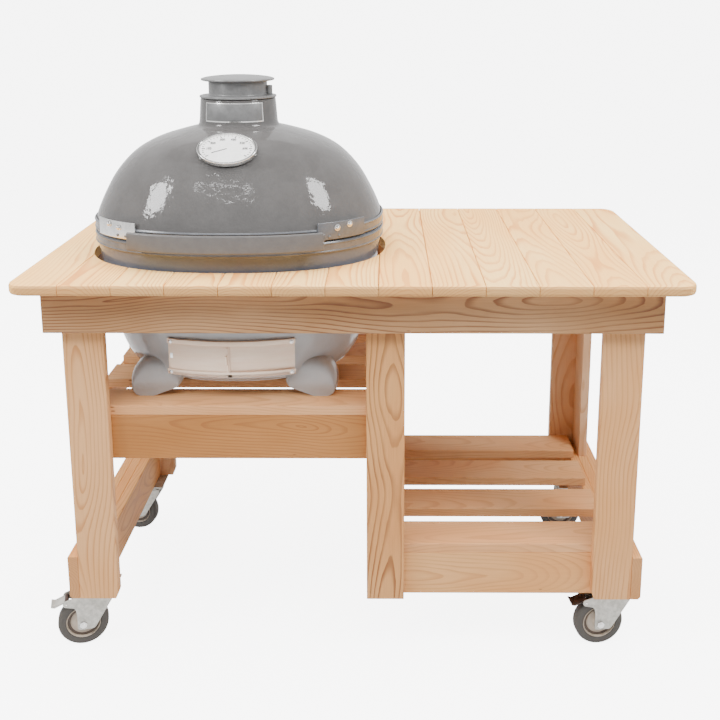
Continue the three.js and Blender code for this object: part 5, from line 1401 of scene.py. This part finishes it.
def slab(name, outline, low, high, axes="xz", edge=0.0006):
    """An outline in two axes and a thickness along the third; the outline shrinks at both edges."""
    ring = np.asarray(outline, float)
    middle = ring.mean(axis=0)
    half = np.abs(ring - middle).max(axis=0)
    shrunk = middle + (ring - middle) * (1 - edge / half)
    rings = [(shrunk, low), (ring, low + edge), (ring, high - edge), (shrunk, high)]
    points = []
    for outline_at, depth in rings:
        d = np.full(len(ring), depth)
        u, v = outline_at.T
        points.append(np.column_stack([u, d, v] if axes == "xz" else [u, v, d]))
    return grid_piece(name, np.stack(points), loop_columns=True, caps=True)


def cheek_outline(with_ear):
    """From the crown round the ear for the brake's pin, down past the axle and up the front."""
    top, sole = FORK_TOP - 0.0045, AXLE_Z - 0.016
    points = [[FRONT_X, top], [TAIL_X, top]]
    if with_ear:
        points += rounding((PIVOT_X, PIVOT_Z), np.pi / 2, 3 * np.pi / 2, EAR_R, 9).tolist()
        points += [[TAIL_X - 0.004, PIVOT_Z - 0.014]]
    points += [[TAIL_X, AXLE_Z + 0.03], [TAIL_X, sole], [TOE_X, sole], [FRONT_X, top - 0.012]]
    return softened(points[::-1], 0.007, 4)


print("points of a cheek's outline:", len(cheek_outline(False)), "and with the ear", len(cheek_outline(True)))

# %% [markdown]
# A crown plate joins the two cheeks. Its cap turns on the ball race under the caster's plate, and the axle
# is held by a nut at each end. The front forks carry the pin of the brake as well.

# %% Forks
def cross_rod(name, x, z, half_width, radius):
    """A rod along y through a point of the caster's side view."""
    return rod(name, (x, -half_width, z), (x, half_width, z), radius)


def make_fork(corner):
    """Two cheeks, the crown between them, a cap over the race, the axle, its nuts and the brake's pin."""
    front = corner.startswith("front")
    for number, (low, high) in enumerate((CHEEK_Y, (-CHEEK_Y[1], -CHEEK_Y[0]))):
        cheek = slab("fork_cheek_%s_%d" % (corner, number + 1), cheek_outline(front), low, high)
        on_caster(cheek, "fork", corner, zinc, ["caster_fork_" + corner] if number == 0 else ())
    crown = softened(rectangle(TAIL_X, FRONT_X, -CHEEK_Y[1], CHEEK_Y[1]), 0.008, 5)
    plate = slab("fork_crown_" + corner, crown, FORK_TOP - 0.0095, FORK_TOP - 0.0048, "xy")
    on_caster(plate, "fork", corner, zinc)
    cap = softened([[0, FORK_TOP - 0.005], [0.036, FORK_TOP - 0.005], [0.036, FORK_TOP], [0, FORK_TOP]],
                   0.002, loop=False)
    on_caster(turned("fork_cap_" + corner, cap, 56), "fork", corner, zinc)
    on_caster(cross_rod("axle_" + corner, AXLE_X, AXLE_Z, 0.030, 0.0048), "fork", corner, bright_steel)
    nut = [[0, 0], [0.0100, 0], [0.0100, 0.0052], [0.0086, 0.0060], [0, 0.0060]]
    for number, side in enumerate((-1, 1)):
        place = (AXLE_X, side * CHEEK_Y[1], AXLE_Z)
        thing = button("nut_%s_%d" % (corner, number + 1), place, (0, side, 0), nut, 6, turn=0.3)
        on_caster(thing, "fork", corner, bright_steel, bevel=0.0006, angle=20)
    if front:
        pin = cross_rod("brake_pin_" + corner, PIVOT_X, PIVOT_Z, 0.0245, 0.0026)
        on_caster(pin, "fork", corner, bright_steel)


for corner in CORNERS:
    make_fork(corner)
print("pieces of the forks:", sum(name.startswith(("fork", "axle", "nut", "brake")) for name in made))

# %% [markdown]
# A front caster's brake is a pressed pedal on a pin between the fork's ears. Trodden down, its shoe bears
# on the tyre. The tread plate is an outline seen from the side and carried across the pedal's width.

# %% Brake pedals
PEDAL_Y, BARREL_R, BARREL_BORE, BARREL_EDGE = 0.018, 0.0060, 0.0029, 0.0008
PEDAL_TIP_X, PEDAL_TIP_Z = PIVOT_X - 0.038, PIVOT_Z - 0.012
PEDAL_LIFT = math.radians(12)


def make_pedal(corner, tread_finish):
    """A bent tread, the barrel it turns by, and the shoe below that is a pedal's lift away from the tyre."""
    x, z = PEDAL_TIP_X, PEDAL_TIP_Z
    tread = softened([[PIVOT_X, PIVOT_Z + 0.006], [x + 0.009, z + 0.006], [x, z + 0.009],
                      [x + 0.0005, z + 0.0055], [x + 0.009, z + 0.003], [PIVOT_X, PIVOT_Z + 0.003]],
                     0.0012, 3)
    on_caster(slab("pedal_tread_" + corner, tread, -PEDAL_Y, PEDAL_Y), "brake", corner, tread_finish,
              ["caster_brake_" + corner], angle=50)
    half = np.array([[BARREL_BORE, PEDAL_Y], [BARREL_R - BARREL_EDGE, PEDAL_Y],
                     [BARREL_R, PEDAL_Y - BARREL_EDGE]])
    barrel = np.vstack([half * [1, -1], half[::-1], half[:1] * [1, -1]])
    tube = button("pedal_barrel_" + corner, (PIVOT_X, 0, PIVOT_Z), (0, 1, 0), barrel, 28)
    on_caster(tube, "brake", corner, pedal_steel_painted_shade)
    lean = math.atan2(PIVOT_BACK, PIVOT_UP) - PEDAL_LIFT
    shoe = block("pedal_shoe_" + corner, (-0.002, -0.015, -0.0088), (0.002, 0.015, -0.0045))
    shoe.data.transform(Matrix.Translation((PIVOT_X, 0, PIVOT_Z)) @ Matrix.Rotation(-lean, 4, "Y"))
    on_caster(shoe, "brake", corner, pedal_steel_painted_shade, bevel=0.0006)


# The left tread is zinc and the right one dark pedal steel: the right tread's darkness is painted shade.
make_pedal("front_left", zinc)
make_pedal("front_right", pedal_steel_painted_shade)
for corner in CORNERS:
    finish_node("caster_plate_" + corner, zinc)
finish_node("grill_cooking_grate", grate_iron)
print("pieces:", len(made), "CAD nodes without a finish:",
      [n for n, o in frame["nodes"].items() if not o.hide_render and not o.data.materials])
